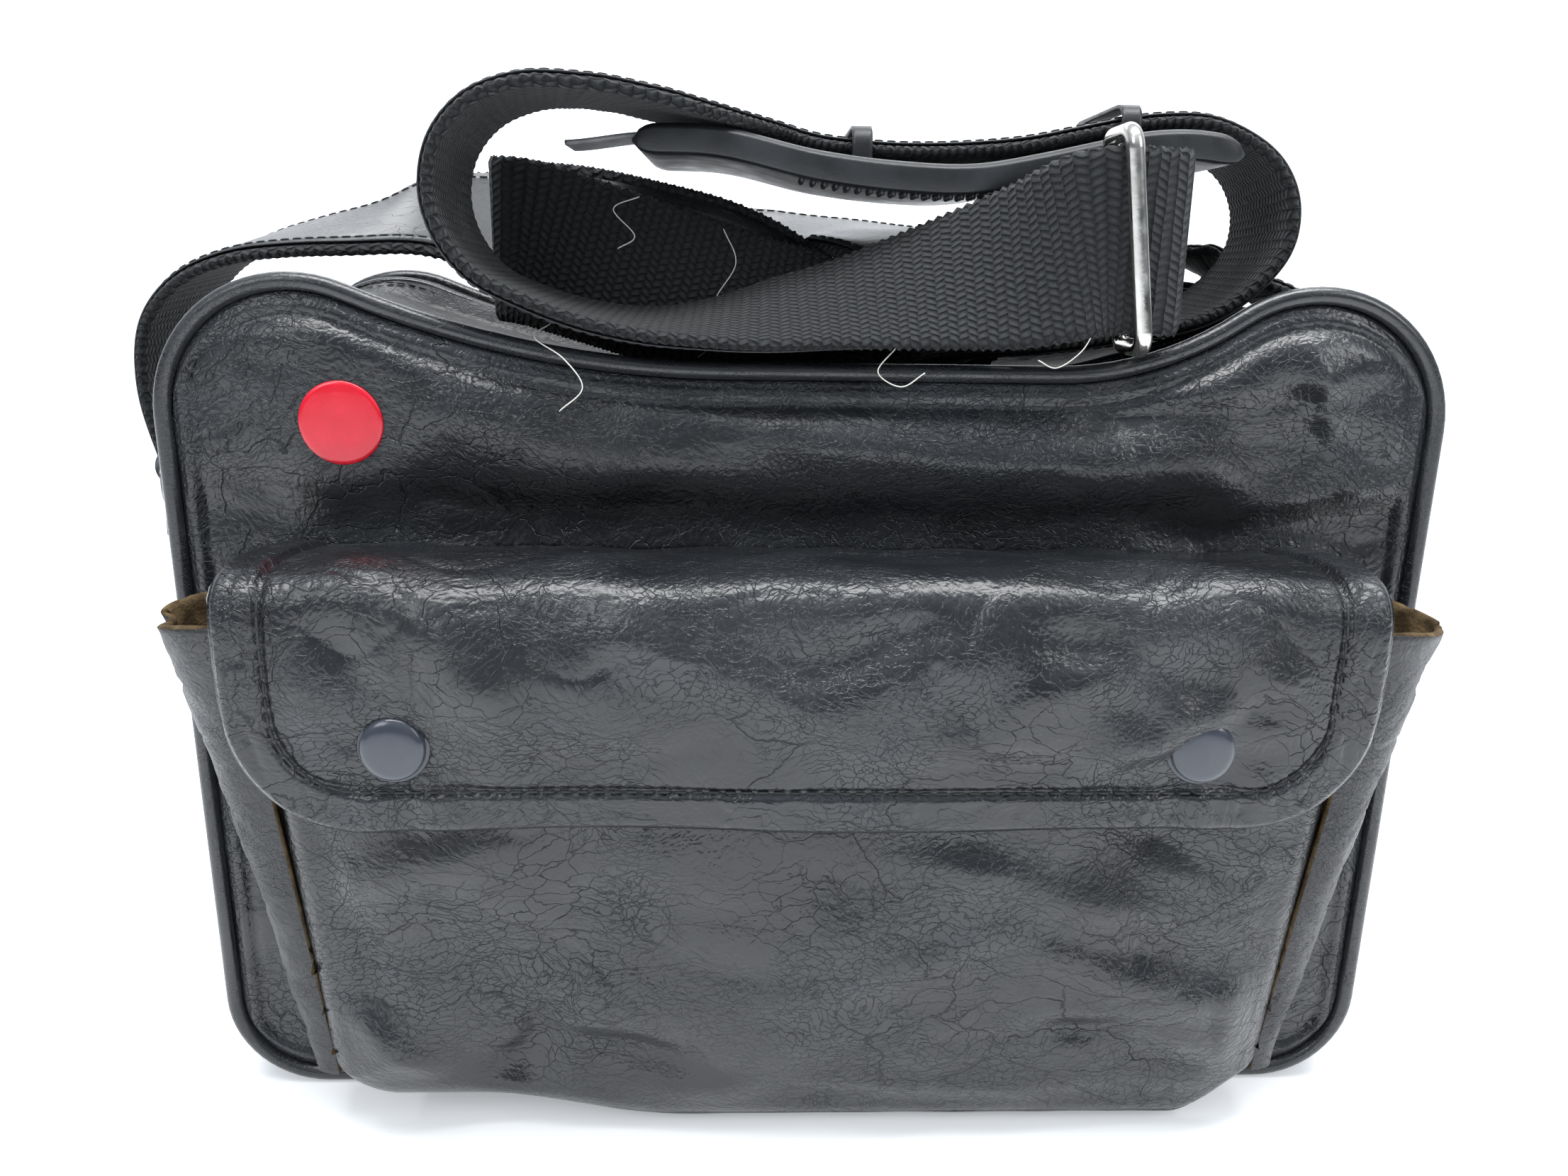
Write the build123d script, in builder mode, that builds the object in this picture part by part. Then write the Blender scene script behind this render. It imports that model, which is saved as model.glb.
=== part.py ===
from build123d import *
import math
import os

os.makedirs("parts", exist_ok=True)

# A soft leather camera case: zip-top body with piped edges, a bellows pocket under a
# snap-down flap, and a webbing shoulder strap that lies folded on top.
# Millimetres. Origin at the middle of the base, on the floor. Front is -Y, up is +Z.

# ---- Driving dimensions: case ----
HALF_WIDTH = 143.0        # to the piping's centre line
CORNER_TOP = 201.0        # piping centre line at the top corners
SAG = 18.0                # drop from the corners to the middle of the top
BASE_LINE = 2.1           # piping centre line at the bottom
TOP_RADIUS = 30.0
BOTTOM_RADIUS = 22.0
FLAT_LEFT = -20.0         # the lowest stretch of the top edge
FLAT_RIGHT = 55.0
PANEL_Y = 46.0            # front and rear piping planes
PIPING_RADIUS = 2.0
PANEL_SET_BACK = 0.8      # the panel's middle lies this far behind the piping's
LEATHER = 2.4
SEAM_GAP = 0.15           # sewn edges are drawn this far apart
SIDE_BULGE = 6.0          # how far the gusset stands out between the pipings
TOP_DIP = 4.0             # how far the gusset's top sinks between the pipings
BASE_DROP = 2.3           # the gusset's floor hangs down to the ground by this much
GUSSET_EDGE_Y = 43.9
GUSSET_BULGE_Y = 34.0
GUSSET_INSET = 0.2
ZIP_SECTION_Z = 146.0     # below it one U-shaped gusset, above it two zip strips

# ---- Driving dimensions: inside ----
TAPE_INSET = 2.75
TAPE = 0.7
LINING_INSET = 3.6
LINING = 1.0
LINING_Y = 40.6
FOAM = 2.8
BOARD = 2.4
DIVIDER_X = 25.0
DIVIDER = 8.0
DIVIDER_TOP = 120.0

# ---- Driving dimensions: zip ----
ZIP_Y = -30.5             # closed line of the zip
SLOT = 1.5                # half the gap that the closed teeth fill
TAPE_SEAM = 6.0           # tape hidden behind the leather
TEETH = 2.1
MOUTH_FRONT_Y = -31.5
MOUTH_REAR_Y = 14.0
MOUTH_RIGHT_X = 120.0
MOUTH_SIDE_Z = 172.0
MOUTH_SIDE_HALF = 5.0     # half the gap where it turns down the left side
MOUTH_FOOT_Z = 154.5      # lower end of the open part, on the left side
MOUTH_TOP = 215.0
SLIDER_Z = 157.5
SLIDER_PLATE = 1.2
PULL_LENGTH = 17.0
PULL_THICK = 1.2
PULL_RING = (10.0, 6.5)     # length and width of the pull's ring
PULL_EYE = (6.8, 3.2)       # the hole in it
PULL_GAP = 0.4
BAIL_REACH = (3.6, 2.5)     # how far the slider's bail stands out, outside and inside
BAIL_HALF = (4.5, 3.4)
BAR = (0.8, 1.6)            # the bar that joins the slider's plates
SLIDER_HALF = (3.4, 5.5)  # half width and half height of its two plates
SLIDER_ROOM = 2.5         # open zip between the slider and the first teeth
TAB_Z = (131.0, 150.0)
TAB_Y = (-40.0, -20.0)

# ---- Driving dimensions: pocket and flap ----
POCKET_HALF = 115.0
POCKET_TOP_Z = 134.0
POCKET_TOP_Y = -81.5
POCKET_FOOT_Z = 10.0
POCKET_FOOT_Y = -67.5
BELLOWS = 1.6
FLAP_LEFT = -119.0
FLAP_RIGHT = 116.5
FLAP_TOP_Z = 145.0
FLAP_BOTTOM_Z = 90.0
FLAP_HINGE_Y = -84.2
ROOT_TOP_Z = 144.6         # just under the flap's own top, so that it can fold back
FLAP_FRONT_Y = -88.0
FLAP_HEM_Y = -84.8
FLAP_RADIUS = 26.0
FLAP_LINING = 0.8
SNAP_X = (-85.3, 80.8)
SNAP_Z = 110.0
CAP_THICK = 1.7
CAP_ROUND = 1.1
SOCKET = (5.5, 3.1, 1.6)    # outer radius, bore radius, thickness
STUD_BASE = (5.0, 0.6)      # radius, thickness
STUD_POST = (2.6, 1.4)      # radius, length
CAP_RADIUS = 6.6
CAP_TILT = 0.45            # clearance that keeps flat snaps off the sloping leather
SOCKET_TILT = 0.6
STUD_TILT = 0.65
BADGE = (-103.0, 171.0)
BADGE_RADIUS = 9.2

# ---- Driving dimensions: strap ----
WEBBING_WIDTH = 38.0
WEBBING = 2.6
FACING_WIDTH = 34.0
FACING = 0.9
FACING_GAP = 0.35
ANCHOR_WALL = 1.6
ANCHOR_Z = (88.0, 120.0)
WIRE_RADIUS = 1.9
BUCKLE_Z = (189.6, 233.2)
PAD_THICK = 6.0
PAD_Y = (-33.0, 20.0)

# The strap's centre line from the left anchor to the right anchor, with the tilt of
# its width in degrees: 0 lies flat front to back, 90 stands upright.
STRAP_ROUTE = (
    (-151.2, 10, 92, 0), (-151.2, 10, 121, 0), (-156, 10, 136, 0), (-162.5, 9.5, 156, 0),
    (-165.5, 9, 174, 0), (-163, 9, 190, 2), (-154, 8, 201, 5), (-141, 7.5, 207.5, 8),
    (-126, 7, 211, 13), (-110, 7, 213.5, 20), (-96, 9, 216.3, 31), (-84, 13, 216, 38),
    (-72, 17, 214.5, 42), (-56, 18.5, 213, 43), (-40, 18.5, 211.5, 40), (-22, 18, 211.2, 32),
    (-6, 19, 213, 20), (7, 18, 213.3, 11), (18, 9, 212, 10), (30, -6, 209.5, 15),
    (40, -21.5, 207, 30), (48.5, -36, 205.3, 47), (54, -42.6, 208.4, 71), (60, -45.8, 210.8, 86),
    (66, -46.6, 211.3, 90),
    (74.5, -46.7, 211.3, 90), (77.4, -47.9, 211.3, 90), (78.6, -50.7, 211.3, 90),
    (77.4, -53.5, 211.3, 90), (74.5, -54.7, 211.3, 90), (60, -54.7, 211.1, 88),
    (45, -47.8, 206.5, 65), (33, -43.8, 203.7, 50), (20, -41, 200.8, 38),
    (5, -39.1, 197.7, 27), (-8, -38.3, 195.5, 21), (-22, -37.4, 193.4, 12),
    (-36, -37.1, 192.8, 6), (-50, -37, 194.8, 3), (-62, -37, 198.6, 1),
    (-72, -36.5, 203.5, 0), (-78, -36, 211, 0), (-80.5, -35, 220, 0),
    (-78.5, -34.5, 229.5, 0), (-72, -34, 237, 0), (-62, -33, 241, 0), (-51, -31, 241.5, 0),
    (-40, -26, 240.6, 0), (-31, -19.5, 239.3, 0), (-22, -13, 237.8, 0),
    (-11, -7, 235.8, 0), (3, -3.5, 232.9, 0), (20, -2, 231.7, 0), (38, -1.5, 232.2, 0),
    (52, -1.5, 233.6, 0), (64, -1.5, 236, 0), (74, -2, 238, 0), (84, -2.5, 239.2, 0),
    (94, -3.5, 238.7, 0), (103, -4.5, 235, 0), (110, -6, 229, 0), (113.6, -7, 221, 0),
    (113, -7.5, 211.5, 0), (106.5, -7.5, 202.5, 0), (97, -7, 195.7, 0), (86, -7, 192.4, 0),
    (70, -8, 190.7, 2), (52, -10.5, 190.4, 8), (36, -12, 190.8, 15), (20, -12, 190, 35),
    (8, -14, 191.4, 55), (-6, -13, 193.2, 70), (-22, -13.5, 197, 76),
    (-40, -13.5, 202.2, 80), (-56, -13.5, 207, 84), (-66, -13.5, 209.8, 88),
    (-70.5, -13.4, 210.5, 90), (-74, -12, 210.8, 90), (-75.5, -8.5, 210.9, 90),
    (-74, -5, 210.8, 90), (-70.5, -3.6, 210.5, 90), (-56, -3.6, 209.5, 90),
    (-40, -4.3, 206.6, 86), (-22, -5, 202.3, 82), (-6, -4.5, 195, 77), (7, -1, 187.8, 70),
    (20, 8, 186.6, 52), (36, 19, 188, 28), (54, 28.5, 190.6, 10), (72, 32.5, 195, 3),
    (88, 34.5, 202, 0), (99, 35, 207.3, 0), (108, 34.5, 209, 0), (116, 30, 206.8, 0),
    (122.5, 24.3, 203, 0), (130, 22.5, 199.8, 0), (138, 21, 195.5, 0), (146, 19, 188, 0),
    (151.6, 17, 177, 0), (153.2, 15.5, 162, 0), (152.4, 13.5, 142, 0), (151.2, 12, 121, 0),
    (151.2, 12, 92, 0),
)

# The upper edge line of the shoulder pad, from its left end to its right end.
PAD_TOP = (
    (-40, 235.6), (-23, 235.4), (3, 230.3), (20, 228.5), (38, 228.3), (52, 230.7), (64, 233.3),
    (75, 235.6), (86, 236.2), (98, 234.8),
)
# Loops that hold the pad on the strap: x, strap's y, pad's face, top of the loop's inside.
KEEPERS = ((12.0, -2.6, 229.0, 236.4), (74.0, -2.0, 235.0, 241.8))
KEEPER_WIDTH = 5.0
KEEPER_WALL = 1.5


def xz_plane(y):
    """An upright plane facing the front, at depth y."""
    return Plane.XZ.offset(-y)


def save(piece, label):
    piece.part.label = label
    export_step(piece.part, f"parts/{label}.step")


def arc_point(centre, radius, angle):
    turn = math.radians(angle)
    return (centre[0] + radius * math.cos(turn), centre[1] + radius * math.sin(turn))


def outline(inset=0.0, bulge=0.0, dip=0.0, drop=0.0):
    """Edges of the case's front outline: flat base, round corners and a sagging top."""
    side = HALF_WIDTH + bulge - inset
    base = BASE_LINE + inset - drop
    foot = BOTTOM_RADIUS - inset
    corner = TOP_RADIUS - inset
    centre_x = HALF_WIDTH + bulge - TOP_RADIUS
    centre_z = CORNER_TOP - dip - TOP_RADIUS
    foot_x = side - foot
    foot_z = base + foot
    flat_z = CORNER_TOP - SAG - dip - inset
    with BuildLine() as line:
        Line((-foot_x, base), (foot_x, base))
        Line((FLAT_LEFT, flat_z), (FLAT_RIGHT, flat_z))
        for sign, flat_x in ((1, FLAT_RIGHT), (-1, FLAT_LEFT)):
            across = centre_x - sign * flat_x
            reach = (across ** 2 / SAG + SAG) / 2
            dish = reach - corner
            turn = math.asin(across / reach)
            join_angle = 90 + math.degrees(turn)
            join = arc_point((centre_x, centre_z), corner, join_angle)
            top = arc_point((centre_x, centre_z), corner, join_angle / 2)
            bend_x = flat_x + sign * dish * math.sin(turn / 2)
            bend_z = flat_z + dish * (1 - math.cos(turn / 2))
            heel = arc_point((foot_x, foot_z), foot, -45)
            ThreePointArc((sign * foot_x, base), (sign * heel[0], heel[1]), (sign * side, foot_z))
            Line((sign * side, foot_z), (sign * side, centre_z))
            ThreePointArc((sign * side, centre_z), (sign * top[0], top[1]), (sign * join[0], join[1]))
            ThreePointArc((sign * join[0], join[1]), (bend_x, bend_z), (flat_x, flat_z))
    return line.edges()


def envelope(inset, edge_y=GUSSET_EDGE_Y):
    """The case's solid shape, standing proud between its pipings."""
    full = (SIDE_BULGE, TOP_DIP, BASE_DROP)
    plain = (0.0, 0.0, 0.0)
    stations = (
        (-edge_y, plain), (-GUSSET_BULGE_Y, full), (GUSSET_BULGE_Y, full), (edge_y, plain),
    )
    with BuildPart() as block:
        for y, (bulge, dip, drop) in stations:
            with BuildSketch(xz_plane(y)):
                make_face(outline(inset, bulge, dip, drop))
        loft(ruled=True)
    return block.part


def shell(outer, inner):
    """A band of the case's skin that runs right round, open at the front and back."""
    with BuildPart() as band:
        add(envelope(outer))
        add(envelope(inner, GUSSET_EDGE_Y + 1.0), mode=Mode.SUBTRACT)
    return band.part


def block(low, high):
    """A plain box between two corners, used to trim other shapes."""
    size = [b - a for a, b in zip(low, high)]
    middle = tuple((a + b) / 2 for a, b in zip(low, high))
    with BuildPart() as box:
        with Locations(middle):
            Box(*size)
    return box.part


def mouth(grow):
    """The open zip's gap: a lens across the top that narrows down the left side."""
    far = HALF_WIDTH + 20
    front = ZIP_Y - MOUTH_SIDE_HALF
    rear = ZIP_Y + MOUTH_SIDE_HALF
    foot = 0.5 + max(grow, 0)
    with BuildPart() as gap:
        with BuildSketch(Plane.XY.offset(MOUTH_SIDE_Z)):
            with BuildLine():
                Polyline(
                    (-far, front), (-132, front), (-112, MOUTH_FRONT_Y),
                    (MOUTH_RIGHT_X, MOUTH_FRONT_Y), (104, -6), (84, MOUTH_REAR_Y),
                    (-84, MOUTH_REAR_Y), (-114, 0), (-138, rear + 3), (-far, rear), close=True,
                )
            make_face()
            if grow:
                offset(amount=grow, kind=Kind.INTERSECTION)
        extrude(amount=MOUTH_TOP - MOUTH_SIDE_Z)
        with BuildSketch(Plane.YZ.offset(-far)):
            with BuildLine():
                Polyline(
                    (front - grow, MOUTH_SIDE_Z), (rear + grow, MOUTH_SIDE_Z),
                    (ZIP_Y + foot, MOUTH_FOOT_Z), (ZIP_Y - foot, MOUTH_FOOT_Z), close=True,
                )
            make_face()
        extrude(amount=30)
    return gap.part


# ---- Case: panels, piping and gusset ----

for name, side in (("front", -1), ("rear", 1)):
    with BuildSketch(xz_plane(side * PANEL_Y)) as seam:
        make_face(outline())
    path = seam.sketch.face().outer_wire()
    with BuildPart() as piping:
        with BuildSketch(Plane(path @ 0, z_dir=path % 0)):
            Circle(PIPING_RADIUS)
        sweep(path=path)
    save(piping, f"piping_{name}")

    with BuildPart() as panel:
        with BuildSketch(xz_plane(side * (PANEL_Y - PANEL_SET_BACK))):
            make_face(outline(PIPING_RADIUS + SEAM_GAP))
        extrude(amount=LEATHER / 2, both=True)
    save(panel, f"{name}_panel")

skin = shell(GUSSET_INSET, GUSSET_INSET + LEATHER)
wide = HALF_WIDTH + 30
deep = PANEL_Y + 10
high = MOUTH_TOP + 10
lower = block((-wide, -deep, -5), (wide, deep, ZIP_SECTION_Z))
front_half = block((-wide, -deep, ZIP_SECTION_Z + SEAM_GAP), (wide, ZIP_Y - SLOT, high))
rear_half = block((-wide, ZIP_Y + SLOT, ZIP_SECTION_Z + SEAM_GAP), (wide, deep, high))

with BuildPart() as gusset_base:
    add(skin)
    add(lower, mode=Mode.INTERSECT)
save(gusset_base, "gusset_base")

for name, half in (("front", front_half), ("rear", rear_half)):
    with BuildPart() as zip_strip:
        add(skin)
        add(half, mode=Mode.INTERSECT)
        add(mouth(0), mode=Mode.SUBTRACT)
    save(zip_strip, f"zip_strip_{name}")

# ---- Zip: tapes, teeth, slider and pull ----

ZIP_SPLIT_Y = -26.0
tape_band = shell(TAPE_INSET, TAPE_INSET + TAPE)
teeth_band = shell(GUSSET_INSET + 0.3, GUSSET_INSET + LEATHER)
teeth_foot = SLIDER_Z + SLIDER_HALF[1] + SLIDER_ROOM
ahead = block((-wide, -deep, teeth_foot), (wide, ZIP_SPLIT_Y, high))
behind = block((-wide, ZIP_SPLIT_Y + SEAM_GAP, teeth_foot), (wide, deep, high))
for name, half in (("front", ahead), ("rear", behind)):
    with BuildPart() as zip_tape:
        add(tape_band)
        add(half, mode=Mode.INTERSECT)
        add(mouth(TAPE_SEAM), mode=Mode.INTERSECT)
        add(mouth(-TEETH - 0.4), mode=Mode.SUBTRACT)
    save(zip_tape, f"zip_tape_{name}")

    with BuildPart() as zip_teeth:
        add(teeth_band)
        add(half, mode=Mode.INTERSECT)
        add(mouth(-0.2), mode=Mode.INTERSECT)
        add(mouth(-0.2 - TEETH), mode=Mode.SUBTRACT)
    save(zip_teeth, f"zip_teeth_{name}")

with BuildPart() as zip_teeth_closed:
    add(teeth_band)
    with Locations((0, ZIP_Y, (ZIP_SECTION_Z + high) / 2)):
        Box(2 * wide, 2 * (SLOT - 0.2), high - ZIP_SECTION_Z - 2, mode=Mode.INTERSECT)
    add(mouth(0.3), mode=Mode.SUBTRACT)
    add(block((-wide, -deep, MOUTH_FOOT_Z - 4), (0, deep, high)), mode=Mode.SUBTRACT)
save(zip_teeth_closed, "zip_teeth_closed")

side_x = HALF_WIDTH + SIDE_BULGE - GUSSET_INSET

with BuildPart() as zip_slider:
    plate_middle = -side_x - SLIDER_PLATE / 2 - SEAM_GAP
    inner_middle = -side_x + LEATHER + TAPE + SLIDER_PLATE / 2 + 2 * SEAM_GAP
    for middle_x in (plate_middle, inner_middle):
        with Locations((middle_x, ZIP_Y, SLIDER_Z)):
            Box(SLIDER_PLATE, 2 * SLIDER_HALF[0], 2 * SLIDER_HALF[1])
    with Locations(((plate_middle + inner_middle) / 2, ZIP_Y, SLIDER_Z + SLIDER_HALF[1] - 1)):
        Box(inner_middle - plate_middle, *BAR)
    bail_x = plate_middle - SLIDER_PLATE / 2
    with BuildSketch(Plane.XZ.offset(-ZIP_Y)):
        for reach, half, mode in zip(BAIL_REACH, BAIL_HALF, (Mode.ADD, Mode.SUBTRACT)):
            foot, peak, head = (bail_x, SLIDER_Z - half), (bail_x - reach, SLIDER_Z), (bail_x, SLIDER_Z + half)
            with BuildLine():
                Line(foot, head)
                ThreePointArc(head, peak, foot)
            make_face(mode=mode)
    extrude(amount=BAR[0], both=True)
save(zip_slider, "zip_slider")

pull_x = bail_x - PULL_GAP
pull_top = SLIDER_Z + 1.2
with BuildPart() as zip_pull:
    with BuildSketch(Plane.YZ.offset(pull_x - PULL_THICK)):
        with Locations((ZIP_Y, pull_top - PULL_RING[0] / 2)):
            SlotOverall(*PULL_RING, rotation=90)
            SlotOverall(*PULL_EYE, rotation=90, mode=Mode.SUBTRACT)
        with BuildLine():
            Polyline(
                (ZIP_Y - 2.2, pull_top - 9), (ZIP_Y + 2.2, pull_top - 9),
                (ZIP_Y + 3, pull_top - PULL_LENGTH), (ZIP_Y - 3, pull_top - PULL_LENGTH), close=True,
            )
        make_face()
    extrude(amount=PULL_THICK)
save(zip_pull, "zip_pull")

patch = shell(-1.4, 0.0)
for name, sign in (("left", -1), ("right", 1)):
    with BuildPart() as zip_end_tab:
        add(patch)
        add(block((min(sign * wide, 0), TAB_Y[0], TAB_Z[0]), (max(sign * wide, 0), TAB_Y[1], TAB_Z[1])),
            mode=Mode.INTERSECT)
    save(zip_end_tab, f"zip_end_tab_{name}")

# ---- Inside: lining, foam, base board and divider ----


def tub(inset, half_depth):
    """The case's inner space, cut square at the front and back."""
    with BuildPart() as space:
        add(envelope(inset))
        add(block((-wide, -half_depth, -5), (wide, half_depth, high)), mode=Mode.INTERSECT)
    return space.part


with BuildPart() as lining:
    add(tub(LINING_INSET, LINING_Y))
    add(tub(LINING_INSET + LINING, LINING_Y - LINING), mode=Mode.SUBTRACT)
    add(mouth(TAPE_SEAM), mode=Mode.SUBTRACT)
    add(block((-wide, ZIP_Y - 6, SLIDER_Z - 8), (-HALF_WIDTH, ZIP_Y + 6, high)), mode=Mode.SUBTRACT)
save(lining, "lining")

foam_y = PANEL_Y - PANEL_SET_BACK - LEATHER / 2 - FOAM / 2 - SEAM_GAP
for name, side in (("front", -1), ("rear", 1)):
    with BuildPart() as padding:
        with BuildSketch(xz_plane(side * foam_y)):
            make_face(outline(LINING_INSET + 1.5))
        extrude(amount=FOAM / 2, both=True)
    save(padding, f"{name}_padding")

floor_z = BASE_LINE - BASE_DROP + LINING_INSET + LINING + SEAM_GAP
with BuildPart() as base_board:
    with BuildSketch(Plane.XY.offset(floor_z)):
        RectangleRounded(2 * (HALF_WIDTH - BOTTOM_RADIUS) + 16, 66, 4)
    extrude(amount=BOARD)
save(base_board, "base_board")

divider_z = floor_z + BOARD + SEAM_GAP
with BuildPart() as padded_divider:
    with BuildSketch(Plane.YZ.offset(DIVIDER_X - DIVIDER / 2)):
        with Locations((0, (divider_z + DIVIDER_TOP) / 2)):
            RectangleRounded(2 * (LINING_Y - LINING) - 2, DIVIDER_TOP - divider_z, 5)
    extrude(amount=DIVIDER)
    fillet(padded_divider.edges().filter_by(Axis.X, reverse=True), radius=1.5)
save(padded_divider, "padded_divider")

# ---- Pocket: leaning front, bellows at its sides and base ----

lean = math.degrees(math.atan2(POCKET_FOOT_Y - POCKET_TOP_Y, POCKET_TOP_Z - POCKET_FOOT_Z))
pocket_plane = Plane(
    origin=(0, POCKET_FOOT_Y, POCKET_FOOT_Z), x_dir=(1, 0, 0),
    z_dir=(0, -math.cos(math.radians(lean)), -math.sin(math.radians(lean))),
)
pocket_height = math.hypot(POCKET_TOP_Z - POCKET_FOOT_Z, POCKET_TOP_Y - POCKET_FOOT_Y)
with BuildPart() as pocket_front:
    with BuildSketch(pocket_plane):
        with BuildLine():
            foot = POCKET_HALF - 3
            Polyline(
                (-foot, 0), (foot, 0), (POCKET_HALF + 2, pocket_height),
                (-POCKET_HALF - 2, pocket_height), close=True,
            )
        corners = make_face().vertices().sort_by(Axis.Y)[:2]
        fillet(corners, radius=16)
    extrude(amount=-LEATHER)
save(pocket_front, "pocket_front")

panel_face = -PANEL_Y - 0.4 - SEAM_GAP
fold_top = (POCKET_HALF + 26.0, -62.0)
fold_foot = (POCKET_HALF + 6.0, -56.0)


def bellows_section(front, fold, back, sign):
    """A V of leather seen from above: pocket edge, outer fold, case edge."""
    with BuildLine() as line:
        Polyline(
            (sign * front[0], front[1]), (sign * fold[0], fold[1]), (sign * back[0], back[1]),
            (sign * (back[0] - BELLOWS), back[1]), (sign * (fold[0] - 2 * BELLOWS), fold[1]),
            (sign * (front[0] - BELLOWS), front[1] + BELLOWS), close=True,
        )
    return line.edges()


for name, sign in (("left", -1), ("right", 1)):
    with BuildPart() as bellows:
        with BuildSketch(Plane.XY.offset(POCKET_TOP_Z - 3)):
            make_face(bellows_section((POCKET_HALF + 4, POCKET_TOP_Y + 1), fold_top,
                                      (POCKET_HALF + 9, panel_face), sign))
        with BuildSketch(Plane.XY.offset(POCKET_FOOT_Z + 5)):
            make_face(bellows_section((POCKET_HALF - 0.5, POCKET_FOOT_Y + 1.6), fold_foot,
                                      (POCKET_HALF + 3, panel_face), sign))
        loft(ruled=True)
    save(bellows, f"pocket_bellows_{name}")

with BuildPart() as pocket_base:
    with BuildSketch(Plane.YZ.offset(-POCKET_HALF + 14)):
        with BuildLine():
            Polyline(
                (panel_face, POCKET_FOOT_Z - 1), (POCKET_FOOT_Y + LEATHER + 0.2, POCKET_FOOT_Z - 1),
                (POCKET_FOOT_Y + LEATHER + 0.2, POCKET_FOOT_Z + 1), (panel_face, POCKET_FOOT_Z + 1),
                close=True,
            )
        make_face()
    extrude(amount=2 * (POCKET_HALF - 14))
save(pocket_base, "pocket_base")

# ---- Flap: a shelf sewn to the case and the part that swings from its front edge ----

with BuildPart() as flap_root:
    with BuildSketch(Plane.YZ.offset(FLAP_LEFT + 1)):
        with BuildLine():
            Polyline(
                (panel_face, ROOT_TOP_Z - LEATHER - 1), (panel_face, ROOT_TOP_Z - 1),
                (FLAP_HINGE_Y + 0.3, ROOT_TOP_Z), (FLAP_HINGE_Y + 0.3, ROOT_TOP_Z - LEATHER), close=True,
            )
        make_face()
    extrude(amount=FLAP_RIGHT - FLAP_LEFT - 2)
save(flap_root, "flap_root")


def flap_sheet(skin_from, skin_to, trim):
    """The hanging part of the flap between two depths behind its outer face."""
    with BuildPart() as sheet:
        with BuildSketch(Plane.YZ.offset(FLAP_LEFT + trim)):
            with BuildLine():
                Polyline(
                    (FLAP_HINGE_Y, FLAP_TOP_Z - skin_from), (FLAP_FRONT_Y + 2, FLAP_TOP_Z - skin_from),
                    (FLAP_FRONT_Y + skin_from, FLAP_TOP_Z - 2 - skin_from),
                    (FLAP_HEM_Y + skin_from, FLAP_BOTTOM_Z + trim),
                    (FLAP_HEM_Y + skin_to, FLAP_BOTTOM_Z + trim),
                    (FLAP_FRONT_Y + skin_to, FLAP_TOP_Z - 2 - skin_to),
                    (FLAP_HINGE_Y, FLAP_TOP_Z - skin_to), close=True,
                )
            make_face()
        extrude(amount=FLAP_RIGHT - FLAP_LEFT - 2 * trim)
        with BuildSketch(xz_plane(FLAP_FRONT_Y - 5)):
            with BuildLine():
                Polyline(
                    (FLAP_LEFT + trim, FLAP_BOTTOM_Z + trim), (FLAP_RIGHT - trim, FLAP_BOTTOM_Z + trim),
                    (FLAP_RIGHT - trim, FLAP_TOP_Z + 5), (FLAP_LEFT + trim, FLAP_TOP_Z + 5), close=True,
                )
            corners = make_face().vertices().sort_by(Axis.Y)[:2]
            fillet(corners, radius=FLAP_RADIUS)
        extrude(amount=-20, mode=Mode.INTERSECT)
    return sheet.part


with BuildPart() as flap_panel:
    add(flap_sheet(0, LEATHER, 0))
save(flap_panel, "flap_panel")

with BuildPart() as flap_lining:
    add(flap_sheet(LEATHER, LEATHER + FLAP_LINING, 9))
    add(block((-wide, -deep * 2, FLAP_TOP_Z - 8), (wide, deep, high)), mode=Mode.SUBTRACT)
save(flap_lining, "flap_lining")

# ---- Snaps: caps outside the flap, sockets inside it, studs on the pocket ----

flap_drop = (FLAP_TOP_Z - 2 - SNAP_Z) / (FLAP_TOP_Z - 2 - FLAP_BOTTOM_Z)
flap_y = FLAP_FRONT_Y + (FLAP_HEM_Y - FLAP_FRONT_Y) * flap_drop
pocket_y = POCKET_FOOT_Y + (POCKET_TOP_Y - POCKET_FOOT_Y) * (SNAP_Z - POCKET_FOOT_Z) / (
    POCKET_TOP_Z - POCKET_FOOT_Z)
inner_y = flap_y + LEATHER + FLAP_LINING + SEAM_GAP
snaps = [(x, SNAP_Z) for x in SNAP_X]

with BuildPart() as snap_caps:
    with BuildSketch(xz_plane(flap_y - CAP_TILT)):
        with Locations(*snaps):
            Circle(CAP_RADIUS)
    extrude(amount=CAP_THICK)
    fillet(snap_caps.faces().group_by(Axis.Y)[0].edges(), radius=CAP_ROUND)
save(snap_caps, "snap_caps")

with BuildPart() as snap_sockets:
    with BuildSketch(xz_plane(inner_y + SOCKET_TILT)):
        with Locations(*snaps):
            Circle(SOCKET[0])
            Circle(SOCKET[1], mode=Mode.SUBTRACT)
    extrude(amount=-SOCKET[2])
save(snap_sockets, "snap_sockets")

with BuildPart() as snap_studs:
    with BuildSketch(xz_plane(pocket_y - STUD_TILT)):
        with Locations(*snaps):
            Circle(STUD_BASE[0])
    extrude(amount=STUD_BASE[1])
    with BuildSketch(xz_plane(pocket_y - STUD_TILT - STUD_BASE[1])):
        with Locations(*snaps):
            Circle(STUD_POST[0])
    extrude(amount=STUD_POST[1])
save(snap_studs, "snap_studs")

with BuildPart() as red_badge:
    with BuildSketch(xz_plane(-PANEL_Y - 0.4 - SEAM_GAP)):
        with Locations(BADGE):
            Circle(BADGE_RADIUS)
    extrude(amount=0.5)
save(red_badge, "red_badge")

# ---- Strap: webbing with a leather facing, its buckle, shoulder pad and anchors ----


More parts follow.
